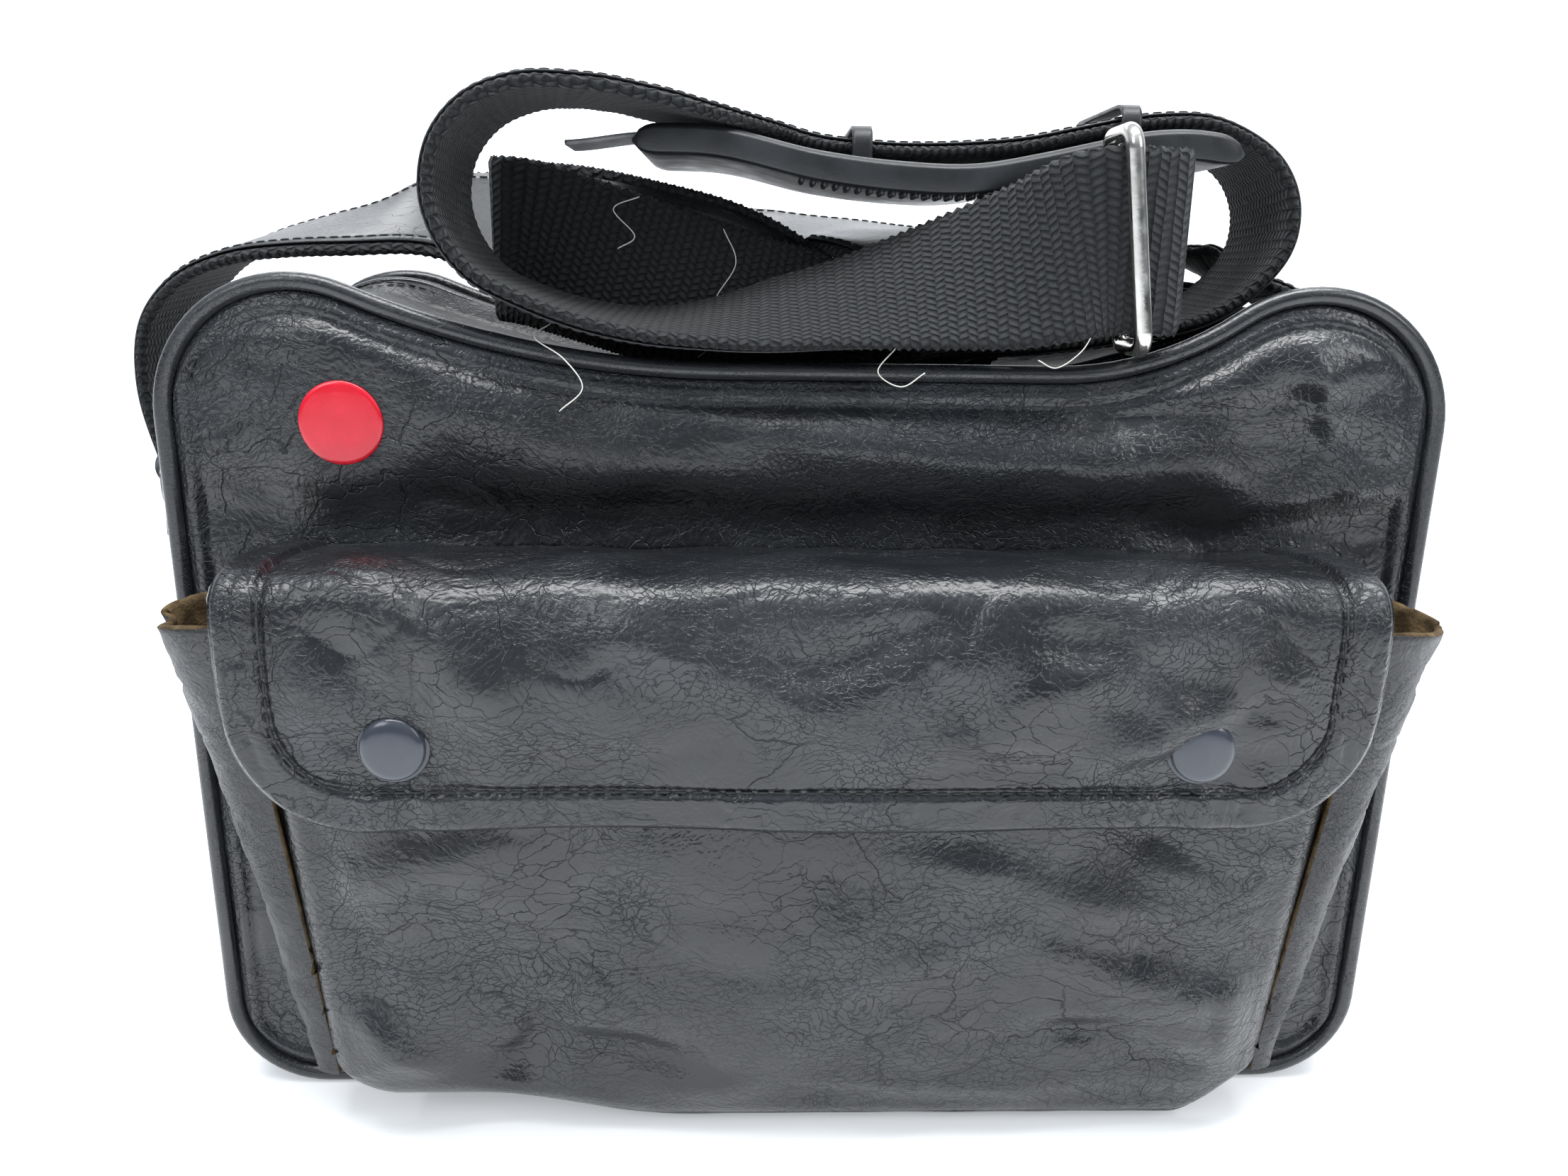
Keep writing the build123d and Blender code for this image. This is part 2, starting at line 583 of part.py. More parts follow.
def strap_frames():
    """A plane across the strap at every point of its route: X runs along its width."""
    points = [Vector(*stop[:3]) for stop in STRAP_ROUTE]
    frames = []
    for index, stop in enumerate(STRAP_ROUTE):
        before = points[max(index - 1, 0)]
        after = points[min(index + 1, len(points) - 1)]
        along = (after - before).normalized()
        tilt = math.radians(stop[3])
        width = Vector(0, math.cos(tilt), math.sin(tilt))
        width = (width - along * width.dot(along)).normalized()
        frames.append(Plane(points[index], x_dir=width, z_dir=along))
    return frames


def ribbon(width, thickness, lift):
    """A flat band along the strap's route, lifted to one side of its centre line."""
    frames = strap_frames()
    lengths = []
    for pair in zip(frames, frames[1:]):
        with BuildPart() as span:
            for frame in pair:
                with BuildSketch(frame):
                    with Locations((0, lift)):
                        Rectangle(width, thickness)
            loft(ruled=True)
        lengths.append(span.part)
    with BuildPart() as band:
        add(lengths, clean=False)
    return band.part


with BuildPart() as strap_webbing:
    add(ribbon(WEBBING_WIDTH, WEBBING, 0))
save(strap_webbing, "strap_webbing")

with BuildPart() as strap_facing:
    add(ribbon(FACING_WIDTH, FACING, (WEBBING + FACING) / 2 + FACING_GAP))
save(strap_facing, "strap_facing")

length = sum(
    (Vector(*b[:3]) - Vector(*a[:3])).length for a, b in zip(STRAP_ROUTE, STRAP_ROUTE[1:]))
print(f"strap length {length:.0f} mm")

buckle_low = Vector(70.0, 0, BUCKLE_Z[0])
buckle_high = Vector(64.0, 0, BUCKLE_Z[1])
buckle_y = (-59.0, -42.2)
buckle_rise = (buckle_high - buckle_low).normalized()
buckle_plane = Plane(
    origin=(buckle_low + buckle_high) * 0.5 + Vector(0, sum(buckle_y) / 2, 0),
    x_dir=(0, 1, 0), z_dir=Vector(0, 1, 0).cross(buckle_rise),
)
with BuildSketch(buckle_plane) as buckle_ring:
    RectangleRounded(buckle_y[1] - buckle_y[0], (buckle_high - buckle_low).length, 3.5)
buckle_path = buckle_ring.sketch.face().outer_wire()
with BuildPart() as strap_buckle:
    with BuildSketch(Plane(buckle_path @ 0, z_dir=buckle_path % 0)):
        Circle(WIRE_RADIUS)
    sweep(path=buckle_path)
save(strap_buckle, "strap_buckle")

with BuildPart() as shoulder_pad:
    with BuildSketch(xz_plane(PAD_Y[0])):
        with BuildLine():
            Spline(*PAD_TOP)
            lower = [(x, z - PAD_THICK) for x, z in PAD_TOP]
            Spline(*lower)
            Line(PAD_TOP[0], lower[0])
            Line(PAD_TOP[-1], lower[-1])
        make_face()
    extrude(amount=PAD_Y[0] - PAD_Y[1])
    for keeper_x, strap_y, face_z, roof_z in KEEPERS:
        half = WEBBING_WIDTH / 2 + 1.2
        thick = KEEPER_WIDTH / 2
        add(block((keeper_x - thick, strap_y - half - KEEPER_WALL, face_z - 1),
                  (keeper_x + thick, strap_y - half, roof_z + KEEPER_WALL)))
        add(block((keeper_x - thick, strap_y + half, face_z - 1),
                  (keeper_x + thick, strap_y + half + KEEPER_WALL, roof_z + KEEPER_WALL)))
        add(block((keeper_x - thick, strap_y - half, roof_z),
                  (keeper_x + thick, strap_y + half, roof_z + KEEPER_WALL)))
save(shoulder_pad, "shoulder_pad")

for name, sign, strap_y in (("left", -1, STRAP_ROUTE[0][1]), ("right", 1, STRAP_ROUTE[-1][1])):
    with BuildPart() as anchor:
        reach = 1.2 + WEBBING + FACING + FACING_GAP
        near = side_x + SEAM_GAP
        width = WEBBING_WIDTH / 2 + 0.4
        outer = block((near, strap_y - width - ANCHOR_WALL, ANCHOR_Z[0]),
                      (near + reach + ANCHOR_WALL, strap_y + width + ANCHOR_WALL, ANCHOR_Z[1]))
        inner = block((near - 1, strap_y - width, ANCHOR_Z[0] + ANCHOR_WALL),
                      (near + reach, strap_y + width, ANCHOR_Z[1] + 1))
        add(outer)
        add(inner, mode=Mode.SUBTRACT)
        if sign < 0:
            mirror(about=Plane.YZ, mode=Mode.REPLACE)
    save(anchor, f"strap_anchor_{name}")
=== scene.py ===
import math

import bpy
import numpy as np
from mathutils import Euler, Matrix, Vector


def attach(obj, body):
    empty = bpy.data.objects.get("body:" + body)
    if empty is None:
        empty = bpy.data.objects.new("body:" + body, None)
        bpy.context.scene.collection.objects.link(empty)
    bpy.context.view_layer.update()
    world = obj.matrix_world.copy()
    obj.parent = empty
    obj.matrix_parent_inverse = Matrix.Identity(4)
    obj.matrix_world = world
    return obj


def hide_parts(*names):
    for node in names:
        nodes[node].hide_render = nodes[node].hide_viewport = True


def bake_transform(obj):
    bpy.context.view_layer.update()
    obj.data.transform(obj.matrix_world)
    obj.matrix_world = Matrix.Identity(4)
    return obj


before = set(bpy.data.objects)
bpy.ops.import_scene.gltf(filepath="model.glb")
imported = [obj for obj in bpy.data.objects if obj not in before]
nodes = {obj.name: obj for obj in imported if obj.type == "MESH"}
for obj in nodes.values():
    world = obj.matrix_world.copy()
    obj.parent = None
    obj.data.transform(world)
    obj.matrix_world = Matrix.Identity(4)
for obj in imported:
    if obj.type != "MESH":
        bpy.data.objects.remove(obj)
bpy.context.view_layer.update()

MM = 0.001

# ---- The case's driving dimensions, in millimetres, as in the CAD ----
HALF_WIDTH, CORNER_TOP, SAG, BASE_LINE = 143.0, 201.0, 18.0, 2.1
TOP_RADIUS, BOTTOM_RADIUS, FLAT_LEFT, FLAT_RIGHT = 30.0, 22.0, -20.0, 55.0
PANEL_Y, SIDE_BULGE, TOP_DIP, BASE_DROP = 46.0, 6.0, 4.0, 2.3
EDGE_Y, FULL_Y, HIDE = 43.9, 34.0, 2.4
ZIP_Y, ZIP_SECTION_Z, SLOT = -30.5, 146.0, 1.5
MOUTH_FOOT_Z, MOUTH_SIDE_Z = 154.5, 172.0
SNAP_X, SNAP_Z = (-85.3, 80.8), 110.0
BADGE_AT, BADGE_OUT = (-103.0, 171.0), 3.2
POCKET_HALF, POCKET_SPREAD, POCKET_TOP_Z = 112.0, 5.0, 133.6
FLAP_LEFT, FLAP_RIGHT, FLAP_RADIUS, FLAP_GROOVE = -119.0, 116.5, 26.0, 9.7
PANEL_FACE = PANEL_Y + 0.4


# ---- Small number tools ----

def smooth(a, b, x):
    t = np.clip((x - a) / (b - a), 0, 1)
    return t * t * (3 - 2 * t)


def bump(x, centre, width):
    return np.exp(-(((x - centre) / width) ** 2))


def noise(x, y, seed):
    """Gradient noise from about -1 to 1 over a plane, the same on every run."""
    turn = np.random.RandomState(seed).rand(256, 256) * 2 * math.pi
    ix, iy = np.floor(x).astype(int), np.floor(y).astype(int)
    fx, fy = x - ix, y - iy
    ux, uy = (f ** 3 * (f * (f * 6 - 15) + 10) for f in (fx, fy))

    def corner(dx, dy):
        a = turn[(ix + dx) % 256, (iy + dy) % 256]
        return np.cos(a) * (fx - dx) + np.sin(a) * (fy - dy)

    low = corner(0, 0) * (1 - ux) + corner(1, 0) * ux
    high = corner(0, 1) * (1 - ux) + corner(1, 1) * ux
    return 1.5 * (low * (1 - uy) + high * uy)


def creases(x, y, size, seed):
    """Sharp valleys that wander and branch: 0 on flat hide, down to -1 in a crease."""
    wx = x / size + 0.55 * noise(x / size * 0.7, y / size * 0.7, seed + 1)
    wy = y / size + 0.55 * noise(x / size * 0.7 + 9, y / size * 0.7, seed + 2)
    ridge = 1 - np.abs(noise(wx, wy, seed)) * 2.6
    return -np.clip(ridge, 0, 1) ** 3


def fold(x, z, start, end, width, amount):
    """A soft rounded ridge (or a valley where amount is below 0) along a line."""
    ax, az = start
    dx, dz = end[0] - ax, end[1] - az
    length = math.hypot(dx, dz)
    t = ((x - ax) * dx + (z - az) * dz) / length ** 2
    side = ((x - ax) * dz - (z - az) * dx) / length + 1.6 * noise(x / 17, z / 17, 77)
    fade = smooth(-0.18, 0.3, t) * (1 - smooth(0.7, 1.18, t))
    return 1.5 * amount * fade * np.exp(-((side / width) ** 2))


def folds(x, z, table):
    """The sum of a table's folds: each row is a start, an end, a width and an amount."""
    return sum(fold(x, z, *row) for row in table)


def bellies(x, z, table):
    """Rounded swells and dents: each row is x, z, the width in x and in z, and an amount."""
    return sum(amount * bump(x, cx, wx) * bump(z, cz, wz) for cx, cz, wx, wz, amount in table)


def soften(values, width=5):
    window = np.hanning(2 * width + 3)[1:-1]
    window /= window.sum()
    padded = np.concatenate([np.full(width, values[0]), values, np.full(width, values[-1])])
    return np.convolve(padded, window, "valid")


def run_along(points):
    """The distance along a line at each of its points."""
    return np.concatenate([[0], np.cumsum(np.linalg.norm(np.diff(points, axis=0), axis=1))])


def resample(points, run, marks):
    """A line's points at other distances along it."""
    return np.stack([np.interp(marks, run, column) for column in points.T], 1)


def spline_through(values, knots, at):
    """A smooth curve through the values, from finite-difference tangents."""
    slope = np.gradient(values, knots)
    k = np.clip(np.searchsorted(knots, at, side="right") - 1, 0, len(knots) - 2)
    h = knots[k + 1] - knots[k]
    t = (at - knots[k]) / h
    return ((2 * t ** 3 - 3 * t ** 2 + 1) * values[k] + (t ** 3 - 2 * t ** 2 + t) * h * slope[k]
            + (-2 * t ** 3 + 3 * t ** 2) * values[k + 1] + (t ** 3 - t ** 2) * h * slope[k + 1])


# ---- Making meshes ----

def build(name, verts, faces, materials, body, face_slots=None, uv=None):
    """A mesh object in metres, from points in millimetres, that rides a body."""
    mesh = bpy.data.meshes.new(name)
    mesh.from_pydata((np.asarray(verts, float) * MM).tolist(), [], [tuple(f) for f in faces])
    for material in materials:
        mesh.materials.append(material)
    if face_slots is not None:
        mesh.polygons.foreach_set("material_index", np.asarray(face_slots, np.int32))
    if uv is not None:
        layer = mesh.uv_layers.new(name="along")
        loops = np.zeros(len(mesh.loops), np.int32)
        mesh.loops.foreach_get("vertex_index", loops)
        layer.data.foreach_set("uv", np.asarray(uv, np.float32)[loops].ravel())
    mesh.polygons.foreach_set("use_smooth", np.full(len(mesh.polygons), True))
    mesh.validate()
    mesh.update()
    obj = bpy.data.objects.new(name, mesh)
    bpy.context.scene.collection.objects.link(obj)
    if body:
        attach(obj, body)
    return obj


def grid_normals(p):
    n = np.cross(np.gradient(p, axis=0), np.gradient(p, axis=1))
    return n / np.maximum(np.linalg.norm(n, axis=2, keepdims=True), 1e-9)


def slab(name, outer, thickness, materials, body, flip=False):
    """A closed sheet: a grid of outer points, an inner copy and a rounded rim. Rim faces take
    the second material and inner faces the third, where there are that many."""
    normals = grid_normals(outer) * (-1 if flip else 1)
    middle = outer - normals * (thickness / 2)
    outward = np.zeros_like(middle)
    outward[0] += middle[0] - middle[1]
    outward[-1] += middle[-1] - middle[-2]
    outward[:, 0] += middle[:, 0] - middle[:, 1]
    outward[:, -1] += middle[:, -1] - middle[:, -2]
    length = np.maximum(np.linalg.norm(outward, axis=2, keepdims=True), 1e-9)
    middle = middle + outward / length * (0.18 * thickness)
    rows, columns = outer.shape[:2]
    count = rows * columns
    at = np.arange(count).reshape(rows, columns)
    edge = np.concatenate([at[:, 0], at[-1, 1:], at[-2::-1, -1], at[0, -2:0:-1]])
    after = np.roll(edge, -1)
    mids = 2 * count + np.arange(len(edge))
    next_mids = np.roll(mids, -1)
    quads = np.stack([at[:-1, :-1], at[1:, :-1], at[1:, 1:], at[:-1, 1:]], axis=-1).reshape(-1, 4)
    rims = np.concatenate([np.stack([edge, mids, next_mids, after], -1),
                           np.stack([mids, edge + count, after + count, next_mids], -1)])
    turn = 1 if flip else -1
    faces = np.concatenate([quads[:, ::turn], quads[:, ::-turn] + count, rims[:, ::turn]])
    slots = np.repeat([0, 2, 1], [len(quads), len(quads), len(rims)])
    inner = outer - normals * thickness
    verts = np.concatenate([outer.reshape(-1, 3), inner.reshape(-1, 3), middle.reshape(-1, 3)[edge]])
    return build(name, verts, faces, materials, body, np.minimum(slots, len(materials) - 1))


def ring_faces(rows, sides, inward=False):
    """Quads between rings of points, and a cap at each end."""
    ids = np.arange(rows * sides).reshape(rows, sides)
    after = np.roll(ids, -1, 1)
    quads = np.stack([ids[:-1], after[:-1], after[1:], ids[1:]], -1).reshape(-1, 4)
    turn = -1 if inward else 1
    return [tuple(f) for f in quads[:, ::turn]] + [tuple(ids[0][::-turn]), tuple(ids[-1][::turn])]


def tube(name, path, radius, material, body, sides=10):
    """A round tube along points in millimetres."""
    tangent = np.gradient(path, axis=0)
    tangent /= np.maximum(np.linalg.norm(tangent, axis=1, keepdims=True), 1e-9)
    normal = np.cross(tangent[0], (0.3, 0.9, 0.31))
    a = np.linspace(0, 2 * math.pi, sides, endpoint=False)[:, None]
    rings = []
    for point, ahead in zip(path, tangent):
        normal = normal - ahead * normal.dot(ahead)
        normal /= np.linalg.norm(normal)
        rings.append(point + radius * (np.cos(a) * normal + np.sin(a) * np.cross(ahead, normal)))
    return build(name, np.concatenate(rings), ring_faces(len(path), sides), [material], body)


CAPSULE_SIDES = 6
CAPSULE_PROFILE = ((0.0, 0.25), (0.12, 0.8), (0.5, 1.0), (0.88, 0.8), (1.0, 0.25))


def capsules(name, starts, ends, radius, material, body):
    """Many short rounded rods in one mesh, such as a row of stitches or a zip's coil."""
    verts, faces = [], []
    rod = ring_faces(len(CAPSULE_PROFILE), CAPSULE_SIDES)
    for a, b in zip(np.asarray(starts, float), np.asarray(ends, float)):
        length = np.linalg.norm(b - a)
        if length < 1e-6:
            continue
        along = (b - a) / length
        side = np.cross(along, (0.12, -0.35, 0.93))
        side /= np.linalg.norm(side)
        other = np.cross(along, side)
        base = len(verts)
        for t, r in CAPSULE_PROFILE:
            for k in range(CAPSULE_SIDES):
                angle = 2 * math.pi * k / CAPSULE_SIDES
                verts.append(a + along * length * t
                             + radius * r * (math.cos(angle) * side + math.sin(angle) * other))
        faces += [tuple(base + k for k in face) for face in rod]
    return build(name, verts, faces, [material], body)


def stitch_row(name, path, normal, body, pitch, radius, lift):
    """Black stitches along a line of points on a surface, each a little shorter than its pitch."""
    run = run_along(path)
    marks = (np.arange(max(int(run[-1] / pitch), 1)) + 0.15) * pitch
    up = resample(np.broadcast_to(np.asarray(normal, float), path.shape), run, marks) * lift
    starts, ends = resample(path, run, marks) + up, resample(path, run, marks + pitch * 0.72) + up
    return capsules(name, starts, ends, radius, thread, body)


def lathe(name, centre, profile, material, body, tilt=0.0, sides=40):
    """A turned piece that faces the front: profile is (radius, how far it stands out)."""
    verts = []
    for r, out in profile:
        for k in range(sides):
            angle = 2 * math.pi * k / sides
            x, z = r * math.cos(angle), r * math.sin(angle)
            verts.append((centre[0] + x, centre[1] - out * math.cos(tilt) + z * math.sin(tilt),
                          centre[2] + z * math.cos(tilt) + out * math.sin(tilt)))
    return build(name, verts, ring_faces(len(profile), sides), [material], body)


# ---- Materials ----

class Shader:
    """A short way to write a node material."""

    def __init__(self, name):
        self.material = bpy.data.materials.new(name)
        self.material.use_nodes = True
        self.tree = self.material.node_tree
        self.bsdf = self.tree.nodes["Principled BSDF"]

    def set(self, **values):
        for key, value in values.items():
            self.bsdf.inputs[key.replace("_", " ")].default_value = value

    def add(self, kind, settings=None, **inputs):
        """A node with its inputs named, or numbered as i0, i1 and i2."""
        node = self.tree.nodes.new(kind)
        for key, value in (settings or {}).items():
            setattr(node, key, value)
        for key, value in inputs.items():
            numbered = key[0] == "i" and key[1:].isdigit()
            socket = node.inputs[int(key[1:]) if numbered else key.replace("_", " ")]
            if isinstance(value, bpy.types.NodeSocket):
                self.tree.links.new(value, socket)
            else:
                socket.default_value = value
        return node

    def math(self, operation, a, b=0.0):
        return self.add("ShaderNodeMath", {"operation": operation}, i0=a, i1=b).outputs[0]

    def vector(self, operation, **inputs):
        return self.add("ShaderNodeVectorMath", {"operation": operation}, **inputs).outputs[0]

    def place(self):
        return self.add("ShaderNodeTexCoord").outputs["Object"]

    def noise(self, at, scale, detail=3.0, output="Fac"):
        return self.add("ShaderNodeTexNoise", Vector=at, Scale=scale, Detail=detail).outputs[output]

    def cells(self, at, scale, feature):
        node = self.add("ShaderNodeTexVoronoi", {"feature": feature}, Vector=at, Scale=scale)
        return node.outputs["Distance"]

    def ramp(self, value, low, high, to_low=0.0, to_high=1.0):
        node = self.add("ShaderNodeMapRange", {"clamp": True}, Value=value, From_Min=low, From_Max=high,
                        To_Min=to_low, To_Max=to_high)
        return node.outputs[0]

    def colour(self, fac, low, high):
        node = self.add("ShaderNodeMix", {"data_type": "RGBA"}, i0=fac, i6=(*low, 1), i7=(*high, 1))
        return node.outputs[2]

    def link(self, value, socket):
        self.tree.links.new(value, self.bsdf.inputs[socket])

    def relief(self, height, distance, strength=1.0, under=None):
        node = self.add("ShaderNodeBump", Height=height, Strength=strength, Distance=distance)
        if under is not None:
            self.tree.links.new(under, node.inputs["Normal"])
        return node.outputs["Normal"]


# Each size of crackle: how fine it is, its line width, its patches' scale and threshold, its depth.
CRACKS = (
    (3.4, 0.013, 17.0, 0.46, 1.0),
    (10.5, 0.026, 24.0, 0.44, 0.7),
    (27.0, 0.055, 31.0, 0.40, 0.45),
)


def leather(name, base, worn, rough=(0.22, 0.36), grain=0.00022, crease=0.00026, crease_scale=24.0,
            coat=0.08, specular=0.62):
    """Glossy hide: pebbled grain under three sizes of dark crackle, stretched across the case."""
    s = Shader(name)
    at = s.place()
    warp = s.noise(at, 42.0, 5.0, "Color")
    bent = s.vector("MULTIPLY_ADD", i0=warp, i1=(0.022, 0.022, 0.022), i2=at)
    stretched = s.vector("MULTIPLY", i0=bent, i1=(0.5, 1.0, 1.0))
    normal = s.relief(s.cells(bent, 820.0, "SMOOTH_F1"), grain, 0.9)
    normal = s.relief(s.noise(at, 2300.0, 2.0), grain * 0.4, 0.6, normal)
    lines = None
    for fineness, thin, patches, threshold, depth in CRACKS:
        edges = s.cells(stretched, crease_scale * fineness, "DISTANCE_TO_EDGE")
        patch = s.ramp(s.noise(at, patches, 3.0), threshold, threshold + 0.2)
        crack = s.math("MULTIPLY", s.ramp(edges, 0.0, thin, 1.0, 0.0), patch)
        normal = s.relief(s.math("SUBTRACT", 1.0, crack), crease * depth, 0.9, normal)
        lines = crack if lines is None else s.math("MAXIMUM", lines, crack)
    s.link(normal, "Normal")
    s.link(s.colour(s.ramp(s.noise(at, 30.0, 5.0), 0.4, 0.75), base, worn), "Base Color")
    gloss = s.ramp(s.noise(at, 34.0, 4.0), 0.35, 0.7, *rough)
    s.link(s.math("ADD", gloss, s.math("MULTIPLY", lines, 0.12)), "Roughness")
    s.link(s.ramp(lines, 0.0, 1.0, specular, specular * 0.35), "Specular IOR Level")
    s.set(Coat_Weight=coat, Coat_Roughness=0.25)
    return s.material


def plain(name, base, worn, rough=(0.3, 0.45), metallic=0.0, scale=60.0, relief=0.0001,
          relief_scale=900.0, specular=0.5, coat=0.0):
    """A mottled surface with a fine relief, for everything that is not hide or webbing."""
    s = Shader(name)
    at = s.place()
    s.link(s.colour(s.ramp(s.noise(at, scale, 5.0), 0.42, 0.72), base, worn), "Base Color")
    s.link(s.ramp(s.noise(at, scale * 1.7, 4.0), 0.3, 0.7, *rough), "Roughness")
    s.link(s.relief(s.noise(at, relief_scale), relief, 0.6), "Normal")
    s.set(Metallic=metallic, Coat_Weight=coat, Specular_IOR_Level=specular)
    return s.material


def woven(name, base, high, pitch_along, pitch_across, depth):
    """A chevron weave laid along the piece's own lengths, which its UV map holds in metres. Its colour has
    painted light on the strands' tops and painted shade in the grooves between them.
    """
    s = Shader(name)
    uv = s.add("ShaderNodeUVMap", {"uv_map": "along"}).outputs[0]
    wobble = s.noise(s.place(), 260.0, 2.0, "Color")
    uv = s.vector("MULTIPLY_ADD", i0=wobble, i1=(0.0007, 0.0007, 0.0), i2=uv)
    along, across = s.add("ShaderNodeSeparateXYZ", Vector=uv).outputs[:2]
    rows = s.math("DIVIDE", along, pitch_along)
    row = s.math("FLOOR", rows)
    within = s.math("SUBTRACT", rows, row)
    hump = s.math("POWER", s.math("SINE", s.math("MULTIPLY", within, math.pi)), 0.6)
    way = s.math("SUBTRACT", s.math("MULTIPLY", s.math("PINGPONG", row, 1.0), 2.0), 1.0)
    slant = s.math("MULTIPLY", s.math("MULTIPLY", within, way), 0.5)
    columns = s.math("ADD", s.math("DIVIDE", across, pitch_across), slant)
    strand = s.math("ABSOLUTE", s.math("SINE", s.math("MULTIPLY", columns, math.pi)))
    height = s.math("MULTIPLY", hump, s.math("POWER", strand, 0.7))
    fuzz = s.noise(s.place(), 3200.0, 2.0)
    s.link(s.relief(height, depth, 1.0, s.relief(fuzz, depth * 0.25, 0.7)), "Normal")
    # painted shade in the grooves and painted light on the strands' tops, taken from the weave's height,
    # with random tone from the fuzz
    painted_strand_light = s.math("MULTIPLY", height, s.ramp(fuzz, 0.3, 0.75, 0.55, 1.0))
    s.link(s.colour(painted_strand_light, base, high), "Base Color")
    s.set(Roughness=0.85, Sheen_Weight=0.1, Sheen_Roughness=0.5, Specular_IOR_Level=0.3)
    return s.material


BLACK = (0.0075, 0.0084, 0.0105)
hide = leather("glossy_hide", BLACK, (0.020, 0.0225, 0.026))
gusset_hide = leather("gusset_hide", BLACK, (0.02, 0.022, 0.025), rough=(0.3, 0.45), crease_scale=34.0,
                      coat=0.04, specular=0.3)
bellows_hide = leather("bellows_hide", BLACK, (0.018, 0.02, 0.024), rough=(0.4, 0.6), crease=0.0007,
                       crease_scale=60.0, coat=0.05)
edge_leather = leather("piping_leather", (0.008, 0.009, 0.011), (0.018, 0.02, 0.023), rough=(0.2, 0.34),
                       grain=0.00005, crease=0.0001, crease_scale=70.0, coat=0.3)
strap_leather = leather("strap_leather", (0.016, 0.0175, 0.02), (0.03, 0.032, 0.035), rough=(0.32, 0.44),
                        grain=0.00005, crease=0.00018, crease_scale=50.0, coat=0.3)
suede = plain("raw_suede", (0.055, 0.036, 0.018), (0.16, 0.11, 0.055), rough=(0.85, 0.95), scale=240.0,
              relief=0.0005, relief_scale=1500.0, specular=0.2)
backing = plain("split_backing", (0.014, 0.013, 0.012), (0.04, 0.036, 0.03), rough=(0.75, 0.9),
                scale=240.0, relief=0.0004, relief_scale=1500.0, specular=0.25)
thread = plain("black_thread", (0.008, 0.008, 0.009), (0.03, 0.03, 0.032), rough=(0.5, 0.7),
               relief_scale=2500.0)
# the first colour is the black cloth, shown in the grooves as painted shade; the second is painted light on
# the strands' tops
webbing = woven("black_webbing", (0.0025, 0.0027, 0.0034), (0.034, 0.037, 0.041), 0.0022, 0.0018, 0.0010)
tan_cloth = plain("tan_lining", (0.20, 0.13, 0.075), (0.36, 0.26, 0.16), rough=(0.8, 0.95), scale=300.0,
                  relief=0.0004, relief_scale=1800.0, specular=0.2)
tape_cloth = plain("zip_tape_cloth", (0.008, 0.008, 0.009), (0.022, 0.022, 0.024), rough=(0.75, 0.9),
                   scale=500.0, relief=0.0003, relief_scale=2200.0, specular=0.3)
coil = plain("zip_coil", (0.012, 0.012, 0.013), (0.03, 0.03, 0.032), rough=(0.25, 0.4))
black_plate = plain("blackened_metal", (0.03, 0.031, 0.034), (0.14, 0.14, 0.15), rough=(0.25, 0.42),
                    metallic=0.75, scale=260.0)
worn_ring = plain("worn_ring", (0.18, 0.18, 0.19), (0.42, 0.42, 0.43), rough=(0.2, 0.4), metallic=1.0,
                  scale=300.0)
# the caps' own dark enamel, lifted and tinted blue as a painted reflection of the pale surroundings
enamel_and_painted_reflection = plain("cap_enamel_and_painted_reflection", (0.035, 0.042, 0.056), (0.045, 0.053, 0.068), rough=(0.18, 0.26), scale=120.0,
               relief=0.00002, coat=0.4)
wire = plain("bright_wire", (0.62, 0.6, 0.56), (0.8, 0.78, 0.74), rough=(0.10, 0.28), metallic=1.0,
             scale=170.0, relief=0.00005, relief_scale=600.0)
rubber = plain("pad_rubber", (0.010, 0.011, 0.013), (0.02, 0.022, 0.025), rough=(0.34, 0.48), scale=90.0,
               relief=0.00008, relief_scale=1400.0)
grey_rubber = plain("pad_tongue", (0.16, 0.16, 0.165), (0.3, 0.3, 0.31), rough=(0.4, 0.55), scale=150.0)
badge_red = plain("badge_red", (0.62, 0.004, 0.02), (0.70, 0.008, 0.03), rough=(0.22, 0.3), scale=200.0,
                  relief=0.00003, coat=0.4)
foam = plain("grey_foam", (0.17, 0.17, 0.17), (0.27, 0.27, 0.27), rough=(0.85, 0.95), scale=400.0,
             relief=0.0004, relief_scale=1500.0)
board = plain("fibreboard", (0.15, 0.11, 0.07), (0.25, 0.19, 0.12), rough=(0.75, 0.9), scale=350.0)
pile = plain("divider_pile", (0.05, 0.05, 0.055), (0.11, 0.11, 0.12), rough=(0.9, 1.0), scale=500.0,
             relief=0.0006, relief_scale=2400.0)
lint = plain("white_lint", (0.62, 0.6, 0.54), (0.8, 0.78, 0.72), rough=(0.8, 0.9))


# ---- The case's outline ----

CORNER_STEPS, SAG_STEPS, FOOT_STEPS, WALL_STEPS, BASE_STEPS, FLAT_STEPS = 36, 44, 20, 68, 60, 32


def sag_arc(sign, flat_x, centre_x):
    """The reach and turn of the hollow between a top corner and the middle's flat."""
    across = centre_x - sign * flat_x
    reach = (across ** 2 / SAG + SAG) / 2
    return reach, math.asin(across / reach)


def steps_to(start, stop, count):
    return np.linspace(start, stop, count, endpoint=False)


